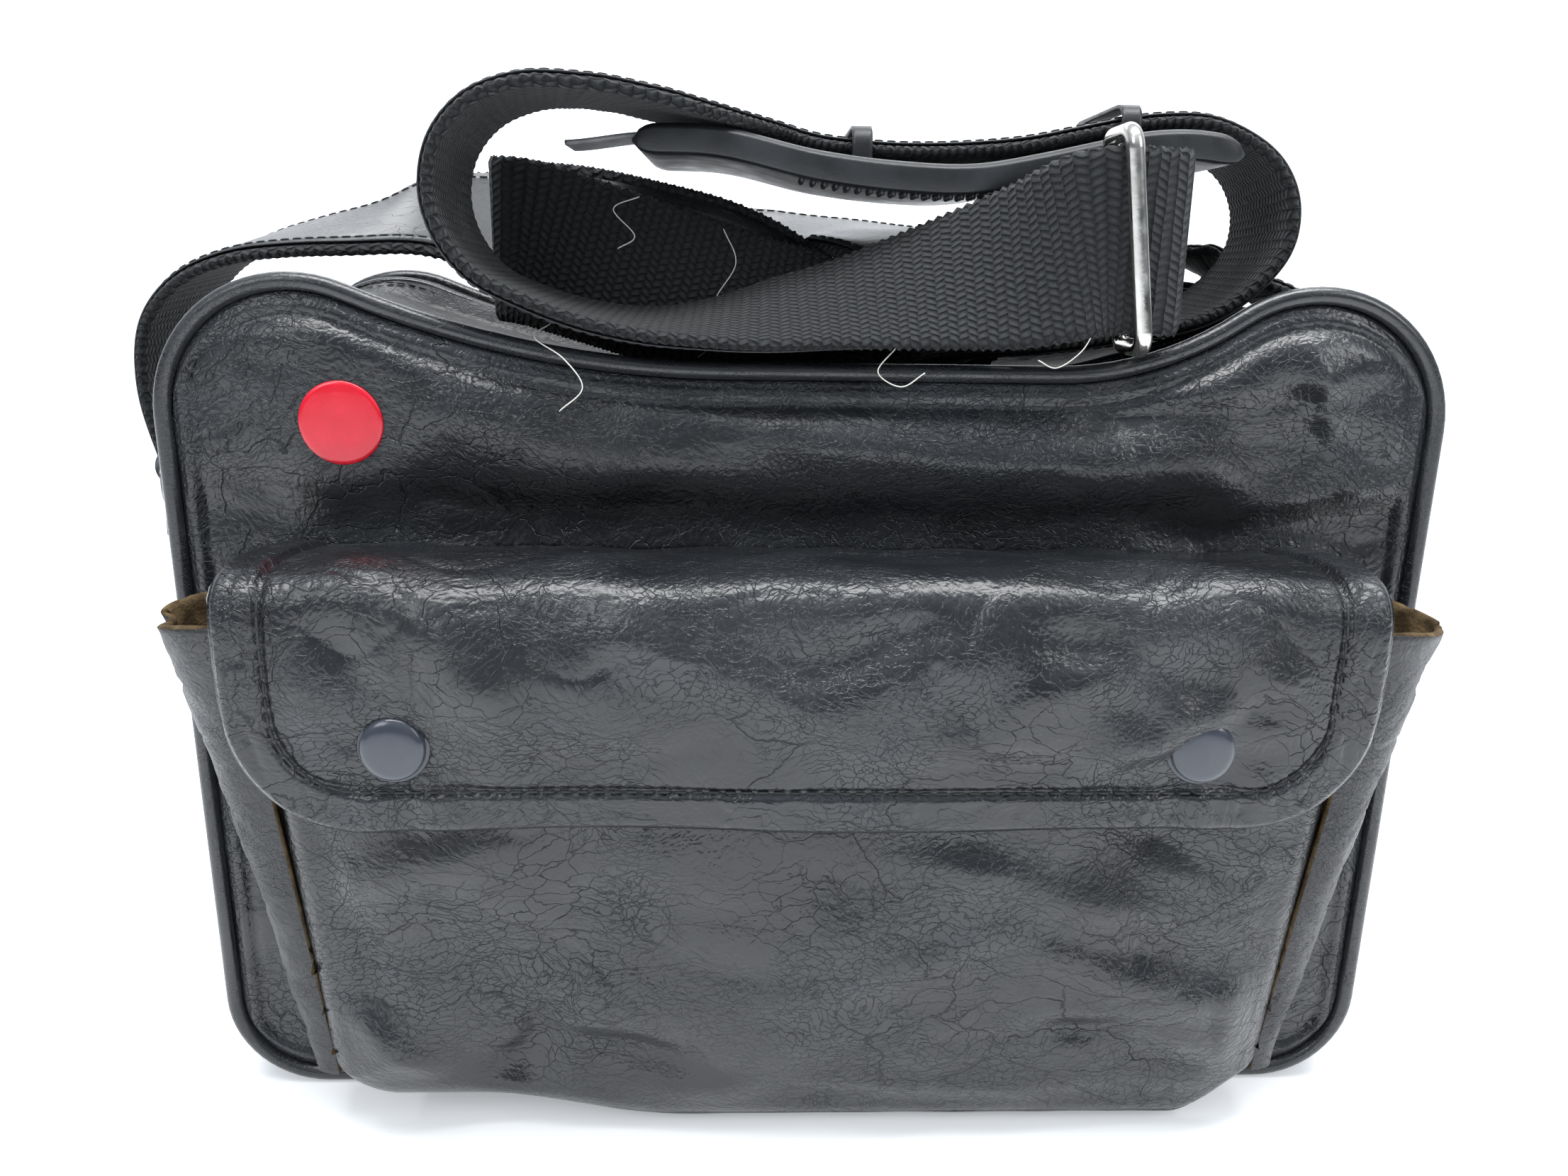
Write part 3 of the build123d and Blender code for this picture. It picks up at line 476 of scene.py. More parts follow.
def outline(inset=0.0, bulge=0.0, dip=0.0, drop=0.0):
    """Points (x, z) round the case's front view, with the same count for every inset. They
    start at the middle of the base and go to the right, up, and back over the top."""
    side = HALF_WIDTH + bulge - inset
    base = BASE_LINE + inset - drop
    foot, corner = BOTTOM_RADIUS - inset, TOP_RADIUS - inset
    cx, cz = HALF_WIDTH + bulge - TOP_RADIUS, CORNER_TOP - dip - TOP_RADIUS
    foot_x, foot_z = side - foot, base + foot
    flat_z = CORNER_TOP - SAG - dip - inset
    runs = {}
    for sign, flat_x in ((1, FLAT_RIGHT), (-1, FLAT_LEFT)):
        reach, turn = sag_arc(sign, flat_x, cx)
        a = steps_to(-math.pi / 2, 0, FOOT_STEPS)
        heel = np.stack([sign * (foot_x + foot * np.cos(a)), foot_z + foot * np.sin(a)], 1)
        up = steps_to(foot_z, cz, WALL_STEPS)
        wall = np.stack([np.full(WALL_STEPS, sign * side), up], 1)
        a = steps_to(0, math.pi / 2 + turn, CORNER_STEPS)
        arc = np.stack([sign * (cx + corner * np.cos(a)), cz + corner * np.sin(a)], 1)
        a = steps_to(turn, 0, SAG_STEPS)
        dish = reach - corner
        sag = np.stack([flat_x + sign * dish * np.sin(a), flat_z + dish * (1 - np.cos(a))], 1)
        runs[sign] = np.concatenate([heel, wall, arc, sag])
    half_base = np.stack([steps_to(0, foot_x, BASE_STEPS), np.full(BASE_STEPS, base)], 1)
    flat = np.stack([steps_to(FLAT_RIGHT, FLAT_LEFT, FLAT_STEPS), np.full(FLAT_STEPS, flat_z)], 1)
    return np.concatenate([half_base, runs[1], flat, runs[-1][::-1], half_base - (foot_x, 0)])


def skirt(y):
    """How much of the gusset's full bulge there is at depth y."""
    return 1 - smooth(FULL_Y - 3, EDGE_Y, np.abs(y))


def band_points(index, y, inset):
    """Points on the gusset at loop positions and depths: two arrays of the same shape."""
    low = outline(inset)
    high = outline(inset, SIDE_BULGE, TOP_DIP, BASE_DROP)
    share = skirt(y)[..., None]
    flat = low[index] * (1 - share) + high[index] * share
    return np.stack([flat[..., 0], y, flat[..., 1]], -1)


full_line = outline(0, SIDE_BULGE, TOP_DIP, BASE_DROP)
loop_at = np.arange(len(full_line))
top_index = loop_at[full_line[:, 1] >= ZIP_SECTION_Z]       # right side, over the top, to the left
base_index = np.concatenate([loop_at[top_index[-1] + 1:], loop_at[:top_index[0]]])
top_x, top_z = full_line[top_index].T


def mouth_line(way, x, z, across):
    """The depth of one edge of the mouth: across the top it is given, and down the left side
    the zip narrows to its slot."""
    side = ZIP_Y + way * (0.5 + 4.5 * np.clip((z - MOUTH_FOOT_Z) / (MOUTH_SIDE_Z - MOUTH_FOOT_Z), 0, 1))
    side = np.where(z < MOUTH_FOOT_Z, ZIP_Y + way * SLOT, side)
    return np.where((x < -140) & (z < MOUTH_SIDE_Z), side, across)


REAR_MOUTH = ((-170, -25.5), (-138, -22), (-126, -12.5), (-114, -2), (-99, 8), (-84, 13), (84, 13),
              (96, 5), (106, -8), (120, -27.5), (126, -29))
FRONT_MOUTH = ((-170, -35.5), (-132, -35.5), (-112, -31.5), (120, -31.5), (126, -32))
rear_line = soften(mouth_line(1, top_x, top_z, np.interp(top_x, *zip(*REAR_MOUTH))))
front_line = soften(mouth_line(-1, top_x, top_z, np.interp(top_x, *zip(*FRONT_MOUTH))), 3)


# ---- Gusset and zip strips ----

def band(name, index, y_from, y_to, columns, inset, thickness, material, seed, waviness, grounded=False):
    """A band of hide or cloth round part of the case, between two lines of depths."""
    v = np.linspace(0, 1, columns)[None, :]
    y = y_from[:, None] * (1 - v) + y_to[:, None] * v
    p = band_points(np.broadcast_to(index[:, None], y.shape), y, inset)
    run = run_along(p[:, 0])[:, None]
    hold = smooth(0, 6, np.abs(np.abs(y) - EDGE_Y))
    for edge in (y_from, y_to):
        hold = hold * smooth(0, 5, np.abs(y - edge[:, None]) + 1)
    if grounded:
        hold = hold * smooth(0.5, 4, p[..., 2])
    wave = waviness * (noise(run / 26, y / 22, seed) + 0.6 * creases(run, y, 14, seed + 3))
    p = p - grid_normals(p) * (wave * hold)[..., None]
    return slab(name, p, thickness, [material], "case", flip=True)


base_edge = np.full(len(base_index), EDGE_Y)
top_edge = np.full(len(top_index), EDGE_Y)
gusset = band("gusset_hide_band", base_index, -base_edge, base_edge, 60, 0.2, HIDE, gusset_hide, 11, 0.5,
              grounded=True)
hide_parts("gusset_base")
strip_front = band("zip_strip_front_hide", top_index, -top_edge, front_line, 12, 0.2, HIDE, gusset_hide,
                   21, 0.25)
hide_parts("zip_strip_front")
strip_rear = band("zip_strip_rear_hide", top_index, rear_line, top_edge, 40, 0.2, HIDE, gusset_hide,
                  31, 0.45)
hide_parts("zip_strip_rear")


# ---- Front and rear panels ----

PANEL_INSET, PANEL_HOLLOW = 2.15, -1.7
FRONT_FOLDS = (
    ((-30, 172), (60, 163), 5, 1.1), ((20, 178), (120, 168), 4.5, -0.9), ((95, 186), (135, 160), 5, -0.7),
    ((110, 190), (128, 150), 3.5, 1.1), ((-135, 160), (-108, 150), 4, -1.0),
    ((-128, 185), (-85, 178), 4, -0.7), ((60, 172), (132, 180), 3, -0.8), ((-60, 186), (-20, 176), 4, 0.7),
    ((85, 150), (138, 158), 3.5, 0.9),
)
REAR_FOLDS = (
    ((-110, 60), (-30, 40), 6, -1.3), ((20, 150), (115, 165), 6, 1.2), ((-90, 160), (-20, 150), 5, -1.0),
)


def column_heights(x, inset):
    """Lowest and highest z of the panel's outline at each x."""
    base = BASE_LINE + inset
    foot, corner = BOTTOM_RADIUS - inset, TOP_RADIUS - inset
    cx, cz = HALF_WIDTH - TOP_RADIUS, CORNER_TOP - TOP_RADIUS
    foot_x = HALF_WIDTH - inset - foot
    flat_z = CORNER_TOP - SAG - inset
    past_foot = np.clip(np.abs(x) - foot_x, 0, None)
    low = base + foot - np.sqrt(np.clip(foot ** 2 - past_foot ** 2, 0, None))
    high = np.full_like(x, flat_z)
    for sign, flat_x in ((1, FLAT_RIGHT), (-1, FLAT_LEFT)):
        reach, turn = sag_arc(sign, flat_x, cx)
        dish = reach - corner
        here = sign * x
        past_flat = here - sign * flat_x
        on_corner = here > cx - corner * math.sin(turn)
        sag = flat_z + dish - np.sqrt(np.clip(dish ** 2 - past_flat ** 2, 0, None))
        arc = cz + np.sqrt(np.clip(corner ** 2 - (here - cx) ** 2, 0, None))
        high = np.where(on_corner, arc, np.where(past_flat > 0, sag, high))
    return low, high


def panel_grid(nx, nz, inset):
    """Points over a panel's outline, closer together towards its ends, and their distance
    from its rim."""
    side = HALF_WIDTH - inset
    t = np.linspace(-1, 1, nx)
    x = side * (0.8 * t + 0.2 * np.sin(t * math.pi / 2))
    low, high = (edge[:, None] for edge in column_heights(x, inset))
    z = low + (high - low) * np.linspace(0, 1, nz)
    x = np.broadcast_to(x[:, None], z.shape)
    rim = np.minimum(np.minimum(z - low, high - z), side - np.abs(x))
    return x, z, high, rim


def front_relief(x, z, high):
    """The roll under the zip, the hollow over the pocket, and the badge's flat."""
    out = 5.2 * smooth(-150, -90, x) * (1 - smooth(110, 150, x) * 0.6) * bump(high - z, 16, 15)
    out = out + 1.6 * bump(z, 158, 9) * bump(x, 60, 70)
    out = out - 2.6 * bump(z, 150, 6.5) * (1 - 0.35 * bump(x, -120, 30)) + folds(x, z, FRONT_FOLDS)
    out = out + 0.9 * noise(x / 24, z / 15, 41) + 0.3 * creases(x, z, 26, 43) + 0.06 * creases(x, z, 10, 47)
    under_badge = 1 - smooth(9.5, 26, np.hypot(x - BADGE_AT[0], z - BADGE_AT[1]))
    return np.maximum(out, PANEL_HOLLOW) * (1 - under_badge) + BADGE_OUT * under_badge


def rear_relief(x, z, high):
    """Gentle waves all over, which don't follow the top edge as the front's roll does."""
    out = 3.2 * bump(z, 95, 70) + 0.9 * noise(x / 34, z / 26, 51) + folds(x, z, REAR_FOLDS)
    out = out + 0.5 * creases(x, z, 26, 53) + 0.25 * creases(x, z, 10, 57)
    return np.maximum(out, PANEL_HOLLOW)


for name, way, nx, nz, ease, relief in (("front", -1, 300, 210, 9, front_relief),
                                        ("rear", 1, 220, 150, 12, rear_relief)):
    x, z, high, rim = panel_grid(nx, nz, PANEL_INSET)
    seam = (0.9 * bump(rim, 2.6, 1.4) - 0.5 * bump(rim, 5.0, 0.8)) * smooth(0, 1.5, rim)
    y = way * (PANEL_FACE + relief(x, z, high) * smooth(0.3, ease, rim) + seam)
    piece = slab(f"{name}_panel_hide", np.stack([x, y, z], -1), HIDE, [hide], "case", flip=way > 0)
    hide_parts(f"{name}_panel")

# Beside each piping: stitches on the panel, a rolled seam on the gusset and its own stitches.
SEAM_CLEAR_Z, STITCH_CLEAR_Z = 6, 8


def at_depth(line, y):
    return np.stack([line[:, 0], np.full(len(line), y), line[:, 1]], -1)


for name, way in (("front", -1), ("rear", 1)):
    path = at_depth(outline(5.0), way * (PANEL_Y + 0.55))
    row = stitch_row(f"seam_stitches_{name}", path, (0, way, 0), "case", 3.0, 0.24, 0.0)
for name, way in (("front", -1), ("rear", 1)):
    line = outline(0.2, 1.6, 1.0, 0.4)
    path = at_depth(line[line[:, 1] > SEAM_CLEAR_Z], way * 41.6)
    roll = tube(f"seam_roll_{name}", path, 1.25, edge_leather, "case")
    line = outline(-0.6, 3.4, 2.1, 0.9)
    path = at_depth(line[line[:, 1] > STITCH_CLEAR_Z], way * 38.6)
    row = stitch_row(f"gusset_stitches_{name}", path, (0, 0, 0), "case", 3.1, 0.26, 0.0)


# ---- Zip tapes and coils ----

def teeth_row(name, index, centre_y, ends, pitch):
    """A coil's turns along the mouth, each from one depth and inset to another."""
    run = run_along(band_points(index, centre_y, 1.5))
    marks = np.arange(0.8, run[-1], pitch)
    starts, stops = (resample(band_points(index, y, inset), run, marks) for y, inset in ends)
    return capsules(name, starts, stops, 0.55, coil, "case")


gap = rear_line - front_line
open_part = (gap > 3.4) & ~((top_x < -140) & (top_z < 164.5))
first_open, last_open = np.where(open_part)[0][[0, -1]]
place = np.arange(len(top_index))
clear_of_slider = (top_x > -140) | (top_z > 170.5)
taped = (place >= first_open) & (place <= last_open) & clear_of_slider
for name, line, way in (("front", front_line, 1), ("rear", rear_line, -1)):
    part, edge_y = top_index[taped], line[taped]
    v = np.linspace(0, 1, 8)[None, :]
    lower, upper = np.sort(np.stack([edge_y - way * 6.0, edge_y + way * 1.7]), axis=0)
    y = lower[:, None] * (1 - v) + upper[:, None] * v
    p = band_points(np.broadcast_to(part[:, None], y.shape), y, 2.75)
    tape = slab(f"tape_{name}_cloth", p, 0.7, [tape_cloth], "case", flip=True)
    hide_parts(f"zip_tape_{name}")
    ends = ((edge_y + way * 0.1, 1.7), (edge_y + way * 2.3, 1.3))
    teeth = teeth_row(f"coil_{name}", part, edge_y + way * 1.3, ends, 1.5)
    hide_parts(f"zip_teeth_{name}")
closed = top_index[: first_open + 1]
middle = np.full(len(closed), ZIP_Y)
teeth = teeth_row("coil_closed", closed, middle, ((middle - 1.25, 1.6), (middle + 1.25, 1.3)), 1.3)
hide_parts("zip_teeth_closed")

# ---- Lining ----
LINING_Y, LINING_COLUMNS = 39.5, 44
index = np.concatenate([loop_at[top_index[-1]:], loop_at[:top_index[0] + 1]])
y = np.broadcast_to(LINING_Y * np.linspace(-1, 1, LINING_COLUMNS), (len(index), LINING_COLUMNS))
p = band_points(np.broadcast_to(index[:, None], y.shape), y, 4.6)
run = np.arange(len(index))[:, None] * 1.5
p = p + 0.5 * noise(run / 18, y / 14, 61)[..., None] * np.array([0.6, 0, 0.4])
liner = slab("lining_band", p, -0.8, [tan_cloth], "case", flip=True)
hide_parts("lining")
for name, way in (("front", -1), ("rear", 1)):
    x, z, high, rim = panel_grid(90, 60, 8.0)
    wave = 0.8 * noise(x / 40, z / 30, 63 + way) + 0.4 * creases(x, z, 30, 66 + way)
    y = way * (39.3 + wave * smooth(0, 10, rim))
    sheet = slab(f"lining_{name}_cloth", np.stack([x, y, z], -1), 0.8, [tan_cloth], "case", flip=way > 0)
top_lining = band("lining_top_cloth", top_index, rear_line + 6, np.full(len(top_index), LINING_Y), 20, 4.4,
                  0.7, tan_cloth, 71, 0.3)

# ---- Pocket ----
POCKET_FOOT_Z, POCKET_FOOT_ROUND, POCKET_FLOOR_LOW = 10.0, 15.0, 2.6
POCKET_BELLIES = (
    (25, 42, 78, 30, 6.5), (92, 30, 24, 22, 2.2), (-98, 24, 14, 15, 3.2), (-60, 78, 40, 20, 2.4),
    (-71, 12, 9, 13, -7.0), (-62, 52, 30, 11, -2.4), (28, 46, 34, 10, -2.2), (5, 62, 26, 10, 1.6),
)
POCKET_FOLDS = (
    ((-70, 12), (-58, 42), 5, -2.0), ((-66, 30), (-20, 22), 5, -1.5), ((-105, 70), (-60, 84), 6, 1.5),
    ((-60, 70), (0, 62), 6, -1.3), ((20, 80), (95, 60), 5, 1.3), ((40, 60), (108, 38), 5, 1.4),
    ((50, 40), (104, 18), 5, -1.5), ((70, 86), (110, 70), 4, -1.1), ((-20, 40), (40, 58), 6, 1.2),
    ((30, 30), (90, 36), 4, -1.0), ((-110, 40), (-85, 20), 4, 1.3), ((0, 20), (60, 12), 5, 1.2),
    ((80, 100), (112, 88), 4, 1.0), ((-112, 96), (-96, 40), 4, -0.9),
)


def pocket_base_line(x):
    return POCKET_FOOT_Z - 7.0 * smooth(-78, -30, x) * (1 - smooth(92, 108, x))


def pocket_front():
    t = np.linspace(-1, 1, 300)[:, None]
    v = np.linspace(0, 1, 170)[None, :]
    half = POCKET_HALF + POCKET_SPREAD * v
    x = (0.84 * t + 0.16 * np.sin(t * math.pi / 2)) * half
    past_foot = np.clip(np.abs(x) - (POCKET_HALF - POCKET_FOOT_ROUND), 0, POCKET_FOOT_ROUND)
    low = pocket_base_line(x) + POCKET_FOOT_ROUND - np.sqrt(POCKET_FOOT_ROUND ** 2 - past_foot ** 2)
    z = low * (1 - v) + POCKET_TOP_Z * v
    rim = np.minimum(half - np.abs(x), z - low)
    out = bellies(x, z, POCKET_BELLIES) + folds(x, z, POCKET_FOLDS)
    out = out + 2.2 * noise(x / 30, z / 22, 81) + 0.45 * creases(x, z, 32, 83) + 0.08 * creases(x, z, 12, 87)
    under_top = POCKET_TOP_Z - z
    roll = 3.2 * np.clip(1 - rim / 6.0, 0, 1) ** 2 * smooth(0, 8, under_top)
    lean = -67.5 - 14.0 * (z - POCKET_FOOT_Z) / 124.0
    y = lean - out * smooth(0.0, 16, rim) * smooth(0, 30, under_top + 2) + roll
    return slab("pocket_front_hide", np.stack([x, y, z], -1), HIDE, [hide, suede, suede], "case")


def pocket_floor():
    """Hide from the pocket front's foot back to the case."""
    x, v = np.broadcast_arrays(np.linspace(-97, 97, 160)[:, None], np.linspace(0, 1, 24)[None, :])
    y = -64.8 * (1 - v) - 46.6 * v
    z = (pocket_base_line(x) + 0.9) * (1 - v) + 10.2 * v - 1.2 * np.sin(v * math.pi)
    z = np.maximum(z + 0.35 * noise(x / 16, v * 2, 91), POCKET_FLOOR_LOW)
    return slab("pocket_floor_hide", np.stack([x, y, z], -1), 1.6, [hide], "case", flip=True)


def bellows(name, sign):
    """A leather V down one side of the pocket, open at the top with its edge raw."""
    h, a = np.broadcast_arrays(np.linspace(0, 1, 90)[:, None], np.linspace(0, 1, 46)[None, :])
    z = 16.0 + 115.5 * h
    front_x, fold_x, back_x = 111.0 + 7.5 * h, 119.5 + 21.0 * h ** 1.2, 117.0 + 7.0 * h
    front_y, fold_y, back_y = -65.5 - 14.5 * h, -56.5 - 5.5 * h, -47.4
    first, second = smooth(0, 0.5, a) * math.pi / 2, smooth(0.5, 1, a) * math.pi / 2
    x = front_x + (fold_x - front_x) * np.sin(first) ** 0.9
    x = x + (back_x - fold_x) * (1 - np.cos(second)) ** 0.9
    y = front_y + (fold_y - front_y) * (1 - np.cos(first)) + (back_y - fold_y) * np.sin(second)
    ripple = 0.7 * noise(z / 9, a * 5, 101 + sign) + 0.8 * creases(z, a * 34, 7, 105)
    ripple = ripple + 1.1 * np.sin(a * 15 + sign) * h ** 6
    x = x + ripple * smooth(0, 0.08, a) * (1 - smooth(0.92, 1, a))
    z = z + 1.5 * np.sin(a * 9.0 + 1) * h ** 8
    p = np.stack([sign * x, y, z], -1)
    return slab(name, p, 1.7, [bellows_hide, suede, suede], "case", flip=sign > 0)


pocket = pocket_front()
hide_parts("pocket_front", "pocket_base")
floor_piece = pocket_floor()
for side, sign in (("left", -1), ("right", 1)):
    piece = bellows(f"bellows_{side}_hide", sign)
    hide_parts(f"pocket_bellows_{side}")

# ---- Flap ----
# Its section (y, z): out from the case, over the front bend and down.
FLAP_SECTION = np.array([
    (-46.8, 143.2), (-53, 144.0), (-61, 145.2), (-70, 146.1), (-77, 146.2), (-82, 145.4), (-85.6, 143.4),
    (-87.6, 140.4), (-88.4, 136.5), (-88.5, 131), (-88.3, 124), (-87.7, 115), (-86.8, 106), (-85.7, 97),
    (-84.9, 90),
])
FLAP_FOLDS = (
    ((-80, 140), (-58, 112), 6, 1.3), ((-100, 136), (-84, 120), 4, -1.0), ((-8, 126), (30, 138), 5, -1.5),
    ((-45, 136), (-8, 124), 6, 1.5), ((-12, 124), (22, 108), 5, 1.1), ((10, 112), (60, 104), 4.5, -1.2),
    ((-5, 105), (55, 116), 5, 1.2), ((32, 116), (70, 132), 5, 1.4), ((40, 138), (92, 120), 5, -1.2),
    ((60, 108), (100, 128), 5, 1.1), ((-60, 104), (-20, 112), 4, -1.0), ((-30, 98), (20, 98), 4, 0.9),
    ((85, 136), (108, 112), 4, 0.9), ((-105, 118), (-92, 102), 4, 0.8), ((20, 130), (34, 112), 4, -1.0),
    ((60, 98), (95, 104), 4, -0.8),
)
section_marks = run_along(FLAP_SECTION)
section = resample(FLAP_SECTION, section_marks, np.linspace(0, section_marks[-1], 400))
section = np.stack([soften(section[:, 0], 12), soften(section[:, 1], 12)], 1)
section_run = run_along(section)
flap_length = section_run[-1]


def section_at(run):
    return (np.interp(run, section_run, section[:, k]) for k in range(2))


def edge_wave(x, run):
    return 0.64 * np.sin(x / 19.0 + 0.7) * smooth(flap_length - 14, flap_length, run)


def flap_rim(x, run, edge_x):
    """The distance from the flap's edge, with its two rounded corners."""
    rim = np.minimum(edge_x, flap_length - run)
    for centre_x in (FLAP_LEFT + FLAP_RADIUS, FLAP_RIGHT - FLAP_RADIUS):
        past_x = x - centre_x
        past_run = run - (flap_length - FLAP_RADIUS)
        in_corner = (past_x * centre_x > 0) & (past_run > 0)
        rim = np.where(in_corner, FLAP_RADIUS - np.hypot(past_x, past_run), rim)
    return rim


def flap_relief(x, z, run, rim):
    """How far the hide stands out: the sewn edge, the snaps' dimples and the soft folds."""
    out = 0.9 * smooth(0, 1.5, rim) * (1 - smooth(8.2, 9.2, rim))
    out = out - 0.75 * bump(rim, FLAP_GROOVE, 0.75) - 0.35 * bump(rim, 0.0, 1.2)
    for snap_x in SNAP_X:
        r = np.hypot(x - snap_x, z - SNAP_Z)
        pucker = np.sin(np.arctan2(z - SNAP_Z, x - snap_x) * 7 + snap_x)
        out = out + (0.5 * bump(r, 15, 7) * pucker - 1.6 * bump(r, 0, 10)) * smooth(20, 30, run)
    soft = 2.6 * bump(z, 121, 15) * (1 - ((x - 5) / 115) ** 2).clip(0, 1) * smooth(20, 32, run)
    soft = soft + folds(x, z, FLAP_FOLDS) * smooth(18, 30, run)
    soft = soft + 1.3 * noise(x / 26, run / 17, 121) + 0.4 * creases(x, run, 27, 123)
    soft = soft + 0.08 * creases(x, run, 10, 127) + 0.9 * noise(x / 60, run / 30, 129) * bump(run, 30, 14)
    out = out + soft * (0.25 + 0.75 * smooth(7, 22, rim))
    return out + 0.5 * creases(x, run * 0.35, 6, 131) * smooth(2, 5, rim) * (1 - smooth(7, 10, rim))


def flap_sheet():
    t = np.linspace(-1, 1, 320)[:, None]
    v = np.linspace(0, 1, 150)[None, :]
    middle, half = (FLAP_LEFT + FLAP_RIGHT) / 2, (FLAP_RIGHT - FLAP_LEFT) / 2
    x, v = np.broadcast_arrays(middle + half * (0.82 * t + 0.18 * np.sin(t * math.pi / 2)), v)
    edge_x = np.minimum(x - FLAP_LEFT, FLAP_RIGHT - x)
    corner_in = np.clip(FLAP_RADIUS - edge_x, 0, FLAP_RADIUS)
    run = (flap_length - FLAP_RADIUS + np.sqrt(FLAP_RADIUS ** 2 - corner_in ** 2)) * v
    y, z = section_at(run)
    (ahead_y, ahead_z), (behind_y, behind_z) = section_at(run + 1), section_at(run - 1)
    along_y, along_z = ahead_y - behind_y, ahead_z - behind_z
    size = np.maximum(np.hypot(along_y, along_z), 1e-9)
    out = flap_relief(x, z, run, flap_rim(x, run, edge_x)) / size
    p = np.stack([x, y + along_z * out, z - along_y * out - edge_wave(x, run)], -1)
    return slab("flap_hide", p, HIDE, [hide, hide, backing], None, flip=True)


def groove_path():
    """The line of the flap's stitches, in the groove inside its edge."""
    left, right = FLAP_LEFT + FLAP_GROOVE, FLAP_RIGHT - FLAP_GROOVE
    low, small = flap_length - FLAP_GROOVE, FLAP_RADIUS - FLAP_GROOVE
    first_run = 41
    a = np.linspace(0, math.pi / 2, 24)
    down = np.linspace(first_run, low - small, 40)
    x = np.concatenate([np.full(40, left), left + small - small * np.cos(a),
                        np.linspace(left + small, right - small, 160),
                        right - small + small * np.sin(a), np.full(40, right)])
    run = np.concatenate([down, low - small + small * np.sin(a), np.full(160, low),
                          low - small + small * np.cos(a), down[::-1]])
    y, z = section_at(run)
    return np.stack([x, y - 0.05, z - edge_wave(x, run)], -1)


flap = flap_sheet()
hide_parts("flap_panel", "flap_root", "flap_lining")
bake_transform(flap)
flap_thread = stitch_row("flap_stitches", groove_path(), (0, -1, 0), "flap", 3.4, 0.34, 0.25)

# ---- Snap caps and badge: each profile is (radius, how far it stands out) ----
CAP_PROFILE = ((7.4, -0.6), (7.5, 0.2), (7.0, 0.75), (6.75, 0.5), (6.7, 0.9), (6.6, 1.5), (6.2, 2.0),
               (5.0, 2.35), (3.2, 2.55), (1.2, 2.62), (0.02, 2.63))
BADGE_PROFILE = ((9.2, -1.0), (9.2, 0.35), (8.95, 0.6), (8.2, 0.68), (4.0, 0.72), (0.02, 0.73))
CAP_Y, CAP_TILT = -86.35, 0.064
for number, snap_x in enumerate(SNAP_X):
    cap = lathe(f"snap_cap_{number}", (snap_x, CAP_Y, SNAP_Z), CAP_PROFILE, enamel_and_painted_reflection, "flap", CAP_TILT)
    if number == 0:
        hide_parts("snap_caps")
badge = lathe("badge_disc", (BADGE_AT[0], -(PANEL_FACE + BADGE_OUT), BADGE_AT[1]), BADGE_PROFILE,
              badge_red, "case", sides=64)
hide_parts("red_badge")

